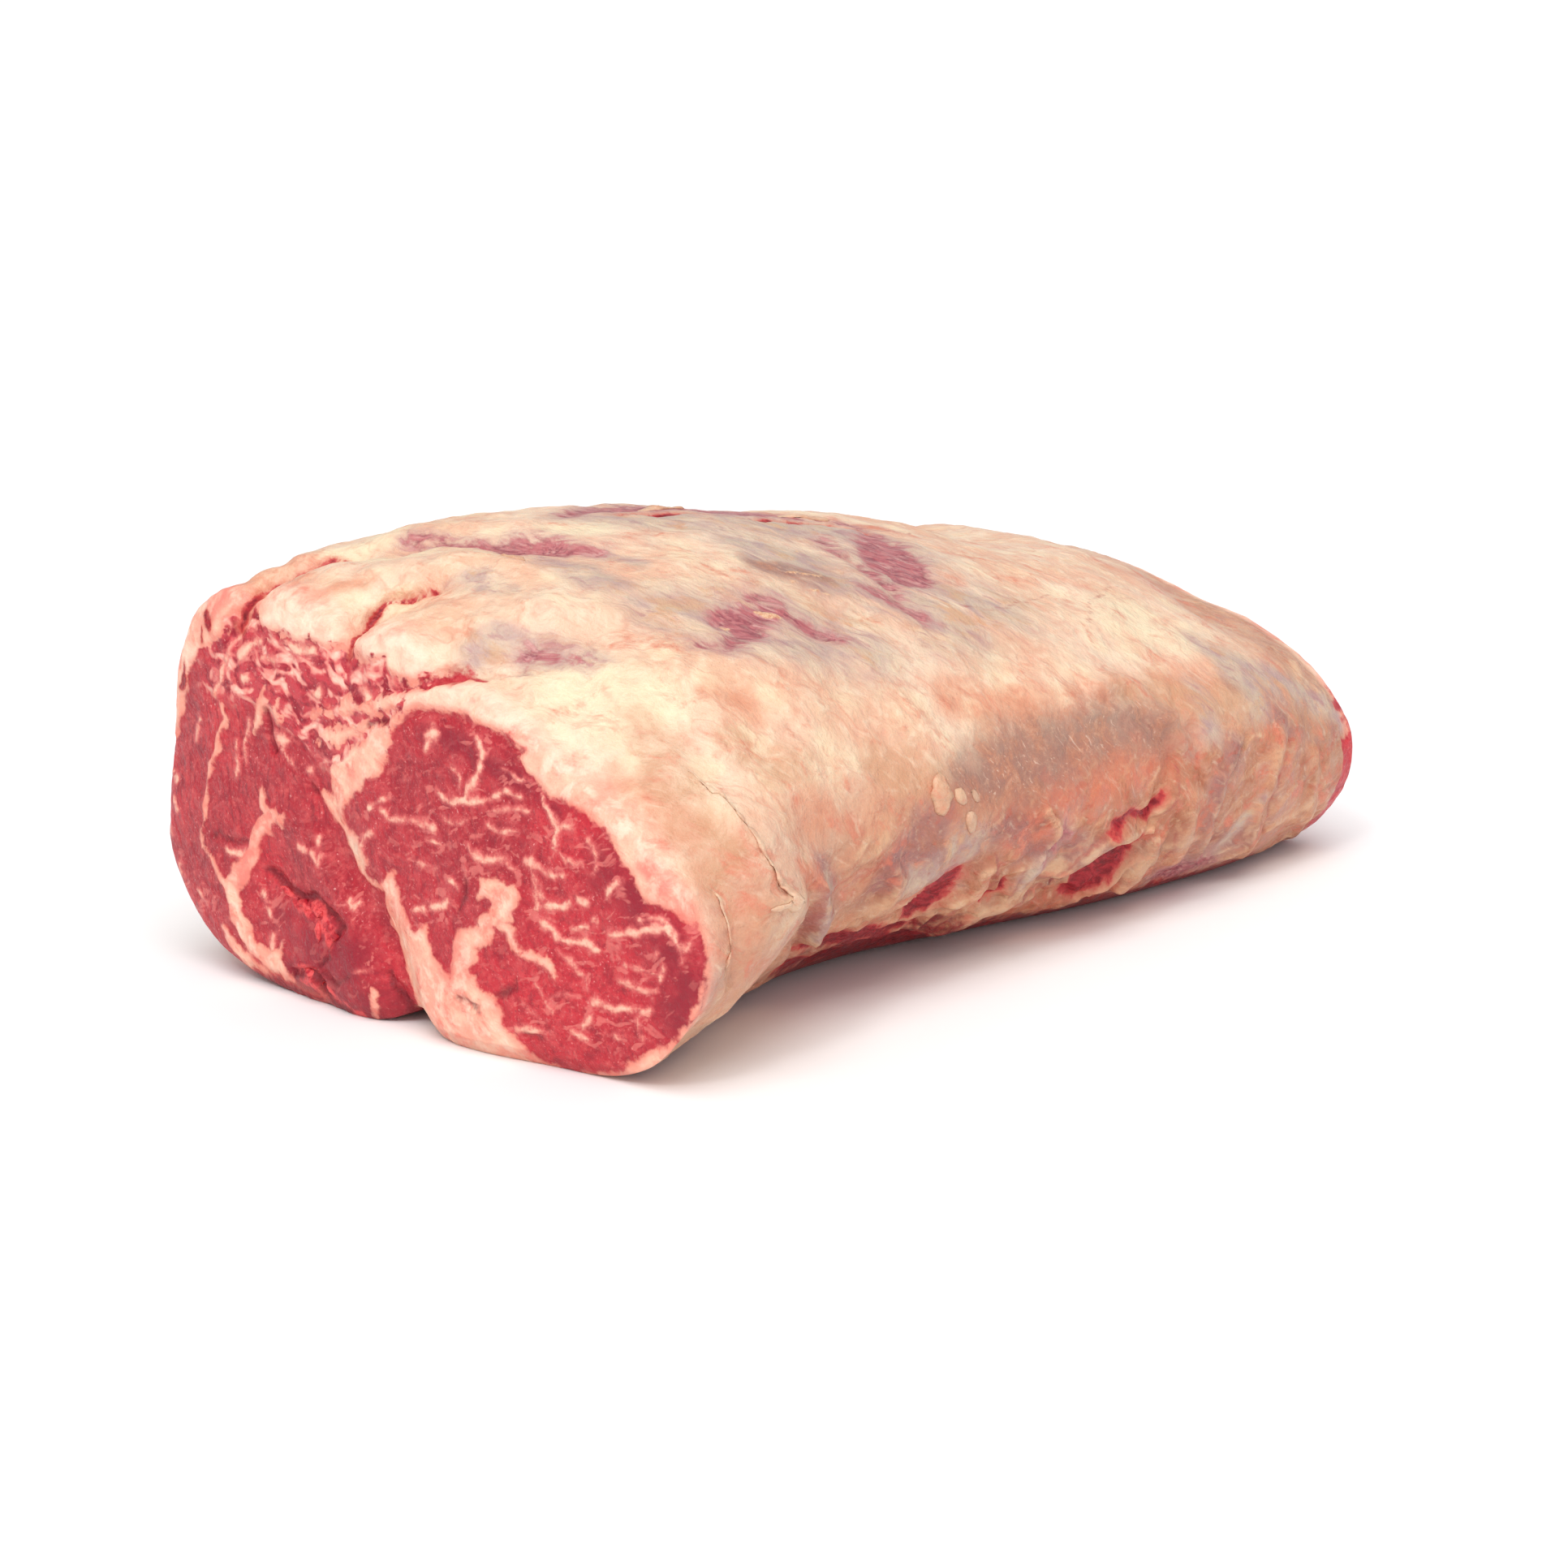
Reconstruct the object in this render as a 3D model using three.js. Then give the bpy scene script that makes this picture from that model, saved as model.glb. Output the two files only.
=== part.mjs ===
// A raw, boneless beef rib roast lying on its rib side, as one solid in millimetres.
// +X runs along the loin from the large cut face to the small one, +Y across it towards the rib cap,
// +Z up. The origin is the middle of the bounding box at the surface that it rests on.
//
// The body is a loft. Each cross-section is a flat underside and four quarter arcs of superellipses:
// up from the right contact to the widest point, over the shoulder to the crown, down to the widest
// point of the rib-cap side and back to the left contact. Both cut ends are domed caps. The crease
// between the muscles, the folds, the fat pads and the slits are relief on that form.
import * as THREE from "three";
import { SimplexNoise } from "three/addons/math/SimplexNoise.js";

// ---- Cross-sections --------------------------------------------------------------------------
// contact is a y, widest and crown are [y, z]. The fullness values under and shoulder are the
// exponents of the arcs: 2 is an ellipse, more is squarer, less is flatter.
const SECTIONS = [
  {
    // the large cut face
    x: -180,
    right: { contact: -70, widest: [-112, 37], under: 1.8, shoulder: 1.7 },
    crown: [75, 118],
    left: { contact: 58, widest: [114, 39], under: 1.8, shoulder: 2.2 },
  },
  {
    // the swollen end, where the eye muscle pushes the fat side out
    x: -150,
    right: { contact: -63, widest: [-114, 43], under: 1.35, shoulder: 1.8 },
    crown: [60, 132],
    left: { contact: 64, widest: [114, 46], under: 1.9, shoulder: 2.05 },
  },
  {
    // the waist behind it, undercut on the right
    x: -100,
    right: { contact: -46, widest: [-100, 50], under: 1.25, shoulder: 2.0 },
    crown: [44, 138],
    left: { contact: 64, widest: [115, 52], under: 1.8, shoulder: 2.2 },
  },
  {
    // the highest part of the crown
    x: -40,
    right: { contact: -38, widest: [-97, 48], under: 1.45, shoulder: 2.0 },
    crown: [36, 133],
    left: { contact: 62, widest: [112, 50], under: 1.8, shoulder: 2.1 },
  },
  {
    x: 50,
    right: { contact: -57, widest: [-95, 44], under: 1.6, shoulder: 2.0 },
    crown: [36, 119.5],
    left: { contact: 60, widest: [108, 46], under: 1.8, shoulder: 2.1 },
  },
  {
    x: 130,
    right: { contact: -62, widest: [-92, 38], under: 1.7, shoulder: 1.95 },
    crown: [34, 106],
    left: { contact: 60, widest: [104, 42], under: 1.8, shoulder: 2.1 },
  },
  {
    // the small cut face
    x: 180,
    right: { contact: -53, widest: [-86, 36], under: 1.7, shoulder: 1.85 },
    crown: [42, 90],
    left: { contact: 58, widest: [99, 38], under: 1.8, shoulder: 2.1 },
  },
];
const FRONT = SECTIONS[0].x;
const BACK = SECTIONS[SECTIONS.length - 1].x;
const FACE_DOME = 6; // how far the middle of each cut face stands out
const REAR_DOME = 8;

// ---- Relief on the cover -----------------------------------------------------------------------
// Each stroke is a line on the surface. The surface rises by height along it, or sinks where height
// is negative, and the effect fades out at about twice the reach to each side.
const STROKES = [
  // slits and pads of the fat at the large end
  { path: [[-182, 24, 110], [-172, 27, 118], [-162, 22, 123], [-150, 10, 126]], reach: 5, height: -5 },
  { path: [[-182, 72, 116], [-168, 67, 126], [-152, 54, 133], [-136, 42, 136]], reach: 5, height: -5 },
  { path: [[-176, -8, 106], [-164, -24, 109]], reach: 5, height: -4 },
  { path: [[-172, 52, 121], [-158, 38, 130], [-144, 24, 134]], reach: 12, height: 3 },
  { path: [[-174, 9, 114], [-160, -5, 120], [-148, -22, 120]], reach: 11, height: 3 },
  { path: [[-172, -40, 98], [-140, -58, 105], [-100, -62, 110]], reach: 16, height: 2 },
  // muscle showing in windows of the cover
  { path: [[-143, 33, 136], [-126, 17, 137], [-108, -3, 135]], reach: 6, height: -3 },
  { path: [[-100, -50, 117], [-74, -60, 111]], reach: 12, height: -2 },
  { path: [[-4, -22, 120], [8, -42, 113]], reach: 10, height: -2 },
  { path: [[-58, -80, 26], [-40, -90, 34]], reach: 6, height: -3 },
  { path: [[22, -78, 14], [50, -91, 33]], reach: 7, height: -4 },
  // flaps, folds and nodules of the fat side
  { path: [[-153, -88, 83], [-150, -104, 69], [-140, -111, 50]], reach: 5, height: 3 },
  { path: [[-168, -106, 60], [-165, -113, 46], [-168, -112, 32]], reach: 4, height: -2 },
  { path: [[-120, -102, 66], [-122, -100, 44], [-114, -82, 18]], reach: 7, height: -4 },
  { path: [[-44, -85, 27], [-22, -93, 38]], reach: 4, height: 3 },
  { path: [[-62, -94, 74], [-58, -97, 66]], reach: 5, height: 3 },
  { path: [[-50, -96, 64], [-46, -98, 54]], reach: 5, height: 3 },
  { path: [[0, -82, 84], [40, -86, 78], [70, -84, 76]], reach: 9, height: 2 },
  { path: [[52, -88, 24], [50, -96, 44], [74, -90, 61], [80, -74, 80]], reach: 6, height: -3 },
  { path: [[102, -84, 14], [102, -94, 35], [120, -88, 54]], reach: 7, height: -3 },
  { path: [[142, -86, 16], [146, -92, 38], [156, -82, 58]], reach: 6, height: -2 },
  // dents of the crown towards the small end
  { path: [[148, -44, 88], [162, -20, 92]], reach: 13, height: -4 },
  { path: [[90, 10, 112], [98, 52, 110]], reach: 14, height: -4 },
  // folds and a pad on the rib-cap side
  { path: [[-182, 108, 74], [-164, 110, 80]], reach: 12, height: -2 },
  { path: [[-140, 112, 84], [-60, 112, 72], [30, 108, 66]], reach: 8, height: -3 },
  { path: [[-10, 98, 100], [60, 100, 88], [140, 96, 72]], reach: 12, height: 3 },
  { path: [[90, 106, 60], [96, 104, 30]], reach: 7, height: -3 },
  { path: [[-70, 112, 50], [-80, 108, 22]], reach: 7, height: -3 },
];
// The soft unevenness all over, as waves of noise.
const WAVES = [
  { length: 70, height: 1.6 },
  { length: 32, height: 0.7 },
];
const NOISE_SEED = 7;
const GROUND_FADE = 14; // the relief dies out over this height above the table

// ---- Relief of the cut faces -------------------------------------------------------------------
// Lines are [y, z] on the cut, from the top down. Each is sunk by depth where it runs, and fades out
// between the heights fadeFrom and fadeTo.
const FACE_LINES = [
  {
    // the crease between the rib cap and the eye muscle
    path: [[42, 74], [33, 58], [23, 43], [13, 33], [6, 22], [1, 8], [0, -4]],
    reach: 6,
    depth: 8,
    fadeFrom: 28,
    fadeTo: 86,
  },
  {
    // the muscle torn open beside it
    path: [[62, 41], [49, 34], [36, 30], [29, 24], [33, 14], [36, 4]],
    reach: 6,
    depth: 3,
    fadeFrom: 40,
    fadeTo: 60,
  },
];
const REAR_LINES = [
  {
    path: [[30, 66], [20, 48], [12, 30], [10, 12], [9, -4]],
    reach: 6,
    depth: 5,
    fadeFrom: 50,
    fadeTo: 80,
  },
];
// The lower parts of the two muscles stand proud of the large face.
const FACE_BULGES = [
  { y: -27, z: 6, spreadY: 26, spreadZ: 36, height: 6 },
  { y: 28, z: 2, spreadY: 22, spreadZ: 30, height: 5 },
];
const FACE_FADE = 32; // this relief dies out this far behind the face
// The crease runs on as a groove in the underside.
const GROOVE = { y: 0, reach: 6, depth: 8, run: 60 };

// ---- Mesh density ------------------------------------------------------------------------------
const ACROSS = 30; // cells of a cap along y
const UPWARD = 15; // cells of a cap along z
const RING = 2 * (ACROSS + UPWARD);
// Where the corners of a cap's grid lie on the ring: low right, high right, high left, low left.
const CORNERS = [0, UPWARD, UPWARD + ACROSS, 2 * UPWARD + ACROSS];
const CELL_ALONG = 9; // spacing of the rings along the body
const RIM_STEPS = [0, 1.5, 4.5]; // extra rings at each cut edge, measured from the cut
const ARC_STEPS = 24; // points that draw half a quarter arc before it is resampled
const RELAX_ROUNDS = 40;

const { lerp, smoothstep } = THREE.MathUtils;
const bell = (distance, reach) => Math.exp(-((distance / reach) ** 2));

// ---- The smooth form ---------------------------------------------------------------------------
// A value of the sections, as a smooth curve through them along the length.
function alongLength(x, pick) {
  let k = 0;
  while (k < SECTIONS.length - 2 && x > SECTIONS[k + 1].x) k++;
  const slope = (i) => {
    const lo = Math.max(0, i - 1);
    const hi = Math.min(SECTIONS.length - 1, i + 1);
    return (pick(SECTIONS[hi]) - pick(SECTIONS[lo])) / (SECTIONS[hi].x - SECTIONS[lo].x);
  };
  const span = SECTIONS[k + 1].x - SECTIONS[k].x;
  const t = (x - SECTIONS[k].x) / span;
  return lerp(
    pick(SECTIONS[k]) + t * span * slope(k) * (1 - t),
    pick(SECTIONS[k + 1]) - (1 - t) * span * slope(k + 1) * t,
    smoothstep(t, 0, 1),
  );
}

// Part of a quarter arc in the plane at x: 0 is the point where it runs level, 1 where it is upright.
function arc(x, level, upright, fullness, from, to) {
  const points = [];
  for (let i = 0; i <= ARC_STEPS; i++) {
    const angle = (lerp(from, to, i / ARC_STEPS) * Math.PI) / 2;
    const across = Math.max(0, Math.sin(angle)) ** (2 / fullness);
    const up = Math.max(0, Math.cos(angle)) ** (2 / fullness);
    points.push(new THREE.Vector3(x, lerp(level[0], upright[0], across), lerp(upright[1], level[1], up)));
  }
  return points;
}

// The closed ring of the body at x. It starts half way up the lower right arc and goes up the fat
// side, over the top, down the rib-cap side and back along the underside.
function ringAt(x) {
  const side = (name) => ({
    contact: [alongLength(x, (s) => s[name].contact), 0],
    widest: [0, 1].map((axis) => alongLength(x, (s) => s[name].widest[axis])),
    under: alongLength(x, (s) => s[name].under),
    shoulder: alongLength(x, (s) => s[name].shoulder),
  });
  const crown = [0, 1].map((axis) => alongLength(x, (s) => s.crown[axis]));
  const right = side("right");
  const left = side("left");
  const half = 0.5;
  const lines = [
    [
      ...arc(x, right.contact, right.widest, right.under, half, 1),
      ...arc(x, crown, right.widest, right.shoulder, 1, half).slice(1),
    ],
    [
      ...arc(x, crown, right.widest, right.shoulder, half, 0),
      ...arc(x, crown, left.widest, left.shoulder, 0, half).slice(1),
    ],
    [
      ...arc(x, crown, left.widest, left.shoulder, half, 1),
      ...arc(x, left.contact, left.widest, left.under, 1, half).slice(1),
    ],
    [
      ...arc(x, left.contact, left.widest, left.under, half, 0),
      ...arc(x, right.contact, right.widest, right.under, 0, half),
    ],
  ];
  return lines.flatMap((line, i) => evenly(line, i % 2 === 0 ? UPWARD : ACROSS).slice(0, -1));
}

// The same line, drawn with this many equal steps.
function evenly(line, steps) {
  const lengths = [0];
  for (let i = 1; i < line.length; i++)
    lengths.push(lengths[i - 1] + line[i].distanceTo(line[i - 1]));
  const total = lengths[lengths.length - 1];
  const result = [];
  let k = 0;
  for (let i = 0; i <= steps; i++) {
    const want = (total * i) / steps;
    while (k < line.length - 2 && lengths[k + 1] < want) k++;
    const gap = lengths[k + 1] - lengths[k];
    result.push(line[k].clone().lerp(line[k + 1], gap > 0 ? (want - lengths[k]) / gap : 0));
  }
  return result;
}

// Where the rings stand along the body, closer together at the cut edges.
function stationsAlong() {
  const inner = RIM_STEPS[RIM_STEPS.length - 1];
  const edges = RIM_STEPS.slice(0, -1);
  const count = Math.round((BACK - FRONT - 2 * inner) / CELL_ALONG);
  const xs = edges.map((step) => FRONT + step);
  for (let i = 0; i <= count; i++) xs.push(lerp(FRONT + inner, BACK - inner, i / count));
  edges.reverse().forEach((step) => xs.push(BACK - step));
  return xs;
}

// A grid of points over one ring, domed along x. Its outer points are the ring's own.
function capGrid(ring, dome) {
  const right = (v) => ring[CORNERS[0] + v]; // bottom to top
  const top = (u) => ring[CORNERS[1] + u]; // right to left
  const left = (v) => ring[CORNERS[3] - v]; // bottom to top
  const bottom = (u) => ring[(RING - u) % RING]; // right to left
  const grid = [];
  for (let u = 0; u <= ACROSS; u++) {
    const column = [];
    for (let v = 0; v <= UPWARD; v++) {
      const a = u / ACROSS;
      const b = v / UPWARD;
      const p = new THREE.Vector3();
      p.addScaledVector(right(v), 1 - a).addScaledVector(left(v), a);
      p.addScaledVector(bottom(u), 1 - b).addScaledVector(top(u), b);
      p.addScaledVector(right(0), -(1 - a) * (1 - b)).addScaledVector(left(0), -a * (1 - b));
      p.addScaledVector(right(UPWARD), -(1 - a) * b).addScaledVector(left(UPWARD), -a * b);
      column.push(p);
    }
    grid.push(column);
  }
  relax(grid);
  for (let u = 1; u < ACROSS; u++)
    for (let v = 1; v < UPWARD; v++) {
      const a = u / ACROSS;
      const b = v / UPWARD;
      grid[u][v].x += dome * Math.sqrt(16 * a * (1 - a) * b * (1 - b));
    }
  return grid;
}

// Evens out a grid's cells, which would be pinched at its corners.
function relax(grid) {
  for (let round = 0; round < RELAX_ROUNDS; round++)
    for (let u = 1; u < ACROSS; u++)
      for (let v = 1; v < UPWARD; v++) {
        const around = [grid[u - 1][v], grid[u + 1][v], grid[u][v - 1], grid[u][v + 1]];
        grid[u][v].set(0, 0, 0);
        for (const point of around) grid[u][v].addScaledVector(point, 1 / around.length);
      }
}

// The index of a cap's grid point among the points of its ring, or -1 inside it.
function ringIndex(u, v) {
  if (u === 0) return CORNERS[0] + v;
  if (u === ACROSS) return CORNERS[3] - v;
  if (v === 0) return (RING - u) % RING;
  if (v === UPWARD) return CORNERS[1] + u;
  return -1;
}

// ---- Relief ------------------------------------------------------------------------------------
function distanceToPath(path, p) {
  let nearest = Infinity;
  const foot = new THREE.Vector3();
  for (let i = 0; i < path.length - 1; i++) {
    const line = new THREE.Line3(new THREE.Vector3(...path[i]), new THREE.Vector3(...path[i + 1]));
    nearest = Math.min(nearest, line.closestPointToPoint(p, true, foot).distanceTo(p));
  }
  return nearest;
}

// How far the lines of a cut face are sunk at p.
function lineDepth(lines, p) {
  const flat = new THREE.Vector3(0, p.y, p.z);
  let depth = 0;
  for (const line of lines) {
    const path = line.path.map(([y, z]) => [0, y, z]);
    const fade = 1 - smoothstep(p.z, line.fadeFrom, line.fadeTo);
    depth += line.depth * fade * bell(distanceToPath(path, flat), line.reach);
  }
  return depth;
}

// Moves a point of the smooth form, whose normal is given, to its place on the real surface.
function applyRelief(point, normal, noise) {
  const p = point.clone();
  const aboveGround = smoothstep(p.z, 0, GROUND_FADE);
  let height = 0;
  for (const stroke of STROKES)
    height += stroke.height * bell(distanceToPath(stroke.path, p), stroke.reach);
  for (const wave of WAVES)
    height += wave.height * noise.noise3d(p.x / wave.length, p.y / wave.length, p.z / wave.length);
  point.addScaledVector(normal, height * aboveGround);

  let proud = -lineDepth(FACE_LINES, p);
  for (const bulge of FACE_BULGES)
    proud += bulge.height * bell(p.y - bulge.y, bulge.spreadY) * bell(p.z - bulge.z, bulge.spreadZ);
  point.x -= proud * (1 - smoothstep(p.x, FRONT, FRONT + FACE_FADE));
  point.x -= lineDepth(REAR_LINES, p) * smoothstep(p.x, BACK - FACE_FADE, BACK);

  const run = 1 - smoothstep(p.x, FRONT, FRONT + GROOVE.run);
  point.z += GROOVE.depth * bell(p.y - GROOVE.y, GROOVE.reach) * run * (1 - aboveGround);
  point.z = Math.max(0, point.z);
}

// A small repeatable random source for the noise.
function seededRandom(seed) {
  const prime = 2147483647;
  let state = seed;
  return {
    random: () => {
      state = (state * 16807) % prime;
      return state / prime;
    },
  };
}

// ---- The solid ---------------------------------------------------------------------------------
function roastGeometry() {
  const positions = [];
  const faces = [];
  const add = (p) => positions.push(p.x, p.y, p.z) / 3 - 1;
  const quad = (a, b, c, d) => faces.push(a, b, c, a, c, d);

  const xs = stationsAlong();
  const rings = xs.map((x) => ringAt(x).map(add));
  for (let i = 0; i < rings.length - 1; i++)
    for (let j = 0; j < RING; j++) {
      const k = (j + 1) % RING;
      quad(rings[i][j], rings[i + 1][j], rings[i + 1][k], rings[i][k]);
    }

  const closeEnd = (x, ring, dome) => {
    const index = capGrid(ringAt(x), dome).map((column, u) =>
      column.map((p, v) => (ringIndex(u, v) < 0 ? add(p) : ring[ringIndex(u, v)])),
    );
    for (let u = 0; u < ACROSS; u++)
      for (let v = 0; v < UPWARD; v++) {
        const corners = [index[u][v], index[u + 1][v], index[u + 1][v + 1], index[u][v + 1]];
        if (dome < 0) corners.reverse();
        quad(...corners);
      }
  };
  closeEnd(FRONT, rings[0], -FACE_DOME);
  closeEnd(BACK, rings[rings.length - 1], REAR_DOME);

  const geometry = new THREE.BufferGeometry();
  geometry.setAttribute("position", new THREE.Float32BufferAttribute(positions, 3));
  geometry.setIndex(faces);
  geometry.computeVertexNormals();

  const noise = new SimplexNoise(seededRandom(NOISE_SEED));
  const places = geometry.getAttribute("position");
  const normals = geometry.getAttribute("normal");
  for (let i = 0; i < places.count; i++) {
    const point = new THREE.Vector3().fromBufferAttribute(places, i);
    applyRelief(point, new THREE.Vector3().fromBufferAttribute(normals, i), noise);
    places.setXYZ(i, point.x, point.y, point.z);
  }

  geometry.computeBoundingBox();
  const middle = geometry.boundingBox.getCenter(new THREE.Vector3());
  geometry.translate(-middle.x, -middle.y, 0);
  return geometry;
}

const beef = new THREE.MeshStandardMaterial({ color: 0xd9ab8c, roughness: 0.45, metalness: 0 });
const roast = new THREE.Mesh(roastGeometry(), beef);
roast.name = "rib_roast";

const part = new THREE.Group();
part.add(roast);

export default part;
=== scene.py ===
"""A raw boneless beef rib roast: one closed skin with fine relief and one meat material.

The skin is a copy of the CAD solid's mesh, rounded, split where detail shows and moved a little
along its normals. Named numbers on its points say where muscle, fat, film and tears are, and the
material paints from them. Lumps of fat, torn skin and shreds of muscle are closed cords on it.
"""

import math

import bmesh
import bpy
import numpy as np
from mathutils import Matrix, Vector
from mathutils.bvhtree import BVHTree


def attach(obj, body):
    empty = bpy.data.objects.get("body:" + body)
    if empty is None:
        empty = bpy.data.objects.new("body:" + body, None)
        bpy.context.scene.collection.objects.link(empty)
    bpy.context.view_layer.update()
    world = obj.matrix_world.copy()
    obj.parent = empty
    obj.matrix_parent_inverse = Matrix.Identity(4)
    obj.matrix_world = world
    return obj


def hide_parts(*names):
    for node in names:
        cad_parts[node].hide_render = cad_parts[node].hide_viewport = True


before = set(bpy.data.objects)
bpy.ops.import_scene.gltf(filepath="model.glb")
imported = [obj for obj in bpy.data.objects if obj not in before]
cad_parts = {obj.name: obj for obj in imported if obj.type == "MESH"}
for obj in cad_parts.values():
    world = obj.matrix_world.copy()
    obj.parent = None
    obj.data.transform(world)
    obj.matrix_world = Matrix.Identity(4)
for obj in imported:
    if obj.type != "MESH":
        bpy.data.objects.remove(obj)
bpy.context.view_layer.update()

MM = 0.001
FRONT = -180.0  # where the large cut face starts, and
BACK = 180.0  # where the small one does
FIBRE_WAY = (0.62, -0.62, -0.48)  # the way of the fine streaks of the cover
FOLD_WAY = (0.88, 0.15, 0.42)  # the way of the folds low on its sides
THICK_SEAM = 2.0  # seams this wide part the muscle, and thinner ones are painted on it
SLAB = 12.0  # a stroke on the cover reaches no point further above or below it
FAR = 1e3
NOWHERE = -50.0  # of a number that grows towards a stroke, where there is none
WAVE_GAIN = 1.6  # brings the noise to about -1 to 1
CORD_SIDES = 10
CORD_STEP = 1.1  # between the rings of a cord
SKIN_ABOVE_FLOOR = (0.5, 9)  # the relief fades in over these heights
AMBIENT = 0.56
# Name: (energy, width in degrees, where it comes from).
SUNS = {
    "key_light": (1.58, 46, (-0.34, -0.30, 1.0)),
    "front_light": (0.66, 60, (-0.8, -0.9, 0.5)),
    "glint_light": (0.4, 10, (-1.0, -0.35, 1.1)),
}
FLOOR_REACH = 60.0
FLOOR_PAINT = (0.96, 0.96, 0.96, 1)
CAMERA_PLACE = (-0.88331, -0.76600, 0.31178)
CAMERA_AZIMUTH, CAMERA_ELEVATION = -48.4, 13.0
LENS, SENSOR = 85, 36

# ---- Colours, as 0-255 red, green and blue -----------------------------------------------------
COVER = {
    "peach": (229, 184, 153), "pale": (236, 205, 178), "milky": (243, 219, 190),
    "rose": (224, 166, 142), "lobe": (246, 223, 186), "lobe_edge": (229, 170, 142),
    "cream": (240, 222, 187), "pink": (220, 148, 116), "brown": (168, 98, 70),
    # violet and pale violet are painted shade in the hollows of the folds
    "light_brown": (198, 134, 98), "violet": (154, 104, 110), "pale_violet": (184, 142, 134),
    # the violet of the violet strokes: partly the fat's own tone, partly painted shade
    "violet_tone_and_shade": (152, 100, 99), "orange": (216, 118, 88), "capillary": (204, 100, 78),
    "red_strand": (190, 86, 64), "pale_strand": (230, 188, 148), "crest": (236, 198, 158),
    "tan": (200, 148, 112), "blotch": (218, 132, 106), "dark_streak": (222, 156, 128),
    "light_streak": (246, 228, 200), "thread": (206, 112, 90), "film": (184, 152, 146),
    "thin_film": (204, 180, 158), "film_streak": (174, 122, 124), "film_stain": (212, 162, 116),
    "dried": (152, 110, 98), "dried_light": (180, 122, 98), "dried_dark": (142, 100, 94),
    # the colour of the thin dark lines: vessels, and painted shade along grooves and creases
    "dried_pale": (218, 172, 146), "hair": (232, 200, 178), "vessel_and_crease_shade": (170, 84, 76),
    "flake": (214, 156, 118), "pale_flake": (236, 196, 156),
}
CUT_FAT = {
    "peach": (252, 200, 172), "salmon": (246, 170, 146), "pale": (254, 216, 192),
    "flushed": (238, 130, 114), "cream": (250, 216, 192), "pink": (236, 132, 118),
    "stained": (234, 118, 104),
}
MUSCLE = {
    "deep": (172, 38, 51), "fresh": (199, 46, 58), "clot": (210, 80, 84),
    "dark_clot": (146, 30, 46), "fine": (220, 92, 90), "dark_fine": (146, 30, 44),
    "bundle": (228, 116, 110), "dark_bundle": (134, 22, 38), "grain": (230, 124, 122),
    # the palest speck colour of the grain is a painted highlight, standing in for wet glints
    "dark_grain": (140, 22, 42), "painted_glint": (246, 190, 184), "halo": (178, 34, 48),
    # the violet of the violet strokes: partly the muscle's own tone, partly painted shade
    "violet_tone_and_shade": (148, 32, 48),
    "thread": (214, 84, 86), "dark_thread": (138, 28, 44), "slant": (214, 104, 104),
    "cap_gap": (150, 28, 46), "cap": (202, 64, 74), "cap_fine": (222, 104, 100),
    "worm_edge": (222, 108, 106), "worm": (242, 164, 148), "worm_core": (250, 200, 180),
    # the pale speck colour of the cap is a painted highlight, standing in for wet glints
    "painted_cap_glint": (246, 190, 180), "dash": (230, 126, 118), "seam_edge": (220, 104, 102),
    "seam": (236, 150, 134), "seam_core": (250, 198, 172), "torn_dark": (182, 30, 46),
    # the dark crimson for the cracks is painted shade
    "torn": (244, 92, 92), "crack_shade": (112, 14, 30), "wet_dark": (112, 18, 28), "wet": (152, 44, 48),
}
WINDOW = {
    "purple": (140, 58, 74), "light_purple": (188, 110, 114), "clot": (190, 100, 106),
    "rim": (192, 148, 140), "veil": (212, 162, 154),
}
# In the red gaps, the colour turns from the wall to the dark inside further in: painted shade.
GAP = {
    "dark": (130, 10, 24), "red": (172, 36, 46), "clot": (96, 8, 20), "wall": (196, 70, 66),
    "rim": (208, 112, 92),
}

# ---- The large cut face ------------------------------------------------------------------------
# Outlines are (y, z) in mm. A stroke is a line of (y, z, half width), and all the fat seams, the
# marbling that can be named one by one and the cracks are strokes.
RIB_CAP = [
    (107, 72), (101.5, 83), (97, 93), (90.5, 100), (84.5, 103.5), (79.5, 107.5), (79, 111.5),
    (76.5, 114.5), (72, 114), (65, 113.5), (61.5, 112), (52, 110.5), (46.5, 109), (38.5, 108.5),
    (33.5, 109.5), (28, 110), (23.5, 108), (13, 108), (7, 109), (5.5, 105.5), (2.5, 104.5),
    (-2.5, 103), (-5.5, 105), (-9.5, 107.5), (-14.5, 107.5), (-23, 105), (-18.5, 104.5),
    (-10.5, 102.5), (-5, 101.5), (-1.5, 100.5), (-1, 95.5), (4.5, 92), (12.5, 88), (16.5, 84.5),
    (26.5, 78.5), (33, 73), (33.5, 68.5), (32.5, 66), (38, 64), (34, 60.5), (31.5, 56.5),
    (27.5, 53), (25, 48.5), (21.5, 42.5), (16, 41), (9, 40.5), (11, 36.5), (9.5, 31), (5, 27),
    (4, 21.5), (2.5, 12), (3.5, 5.5), (-3, -2), (21.5, -3), (50, -3), (78, 0), (92, 8), (108, 20),
    (118, 30), (122, 45), (120, 60),
]
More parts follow.
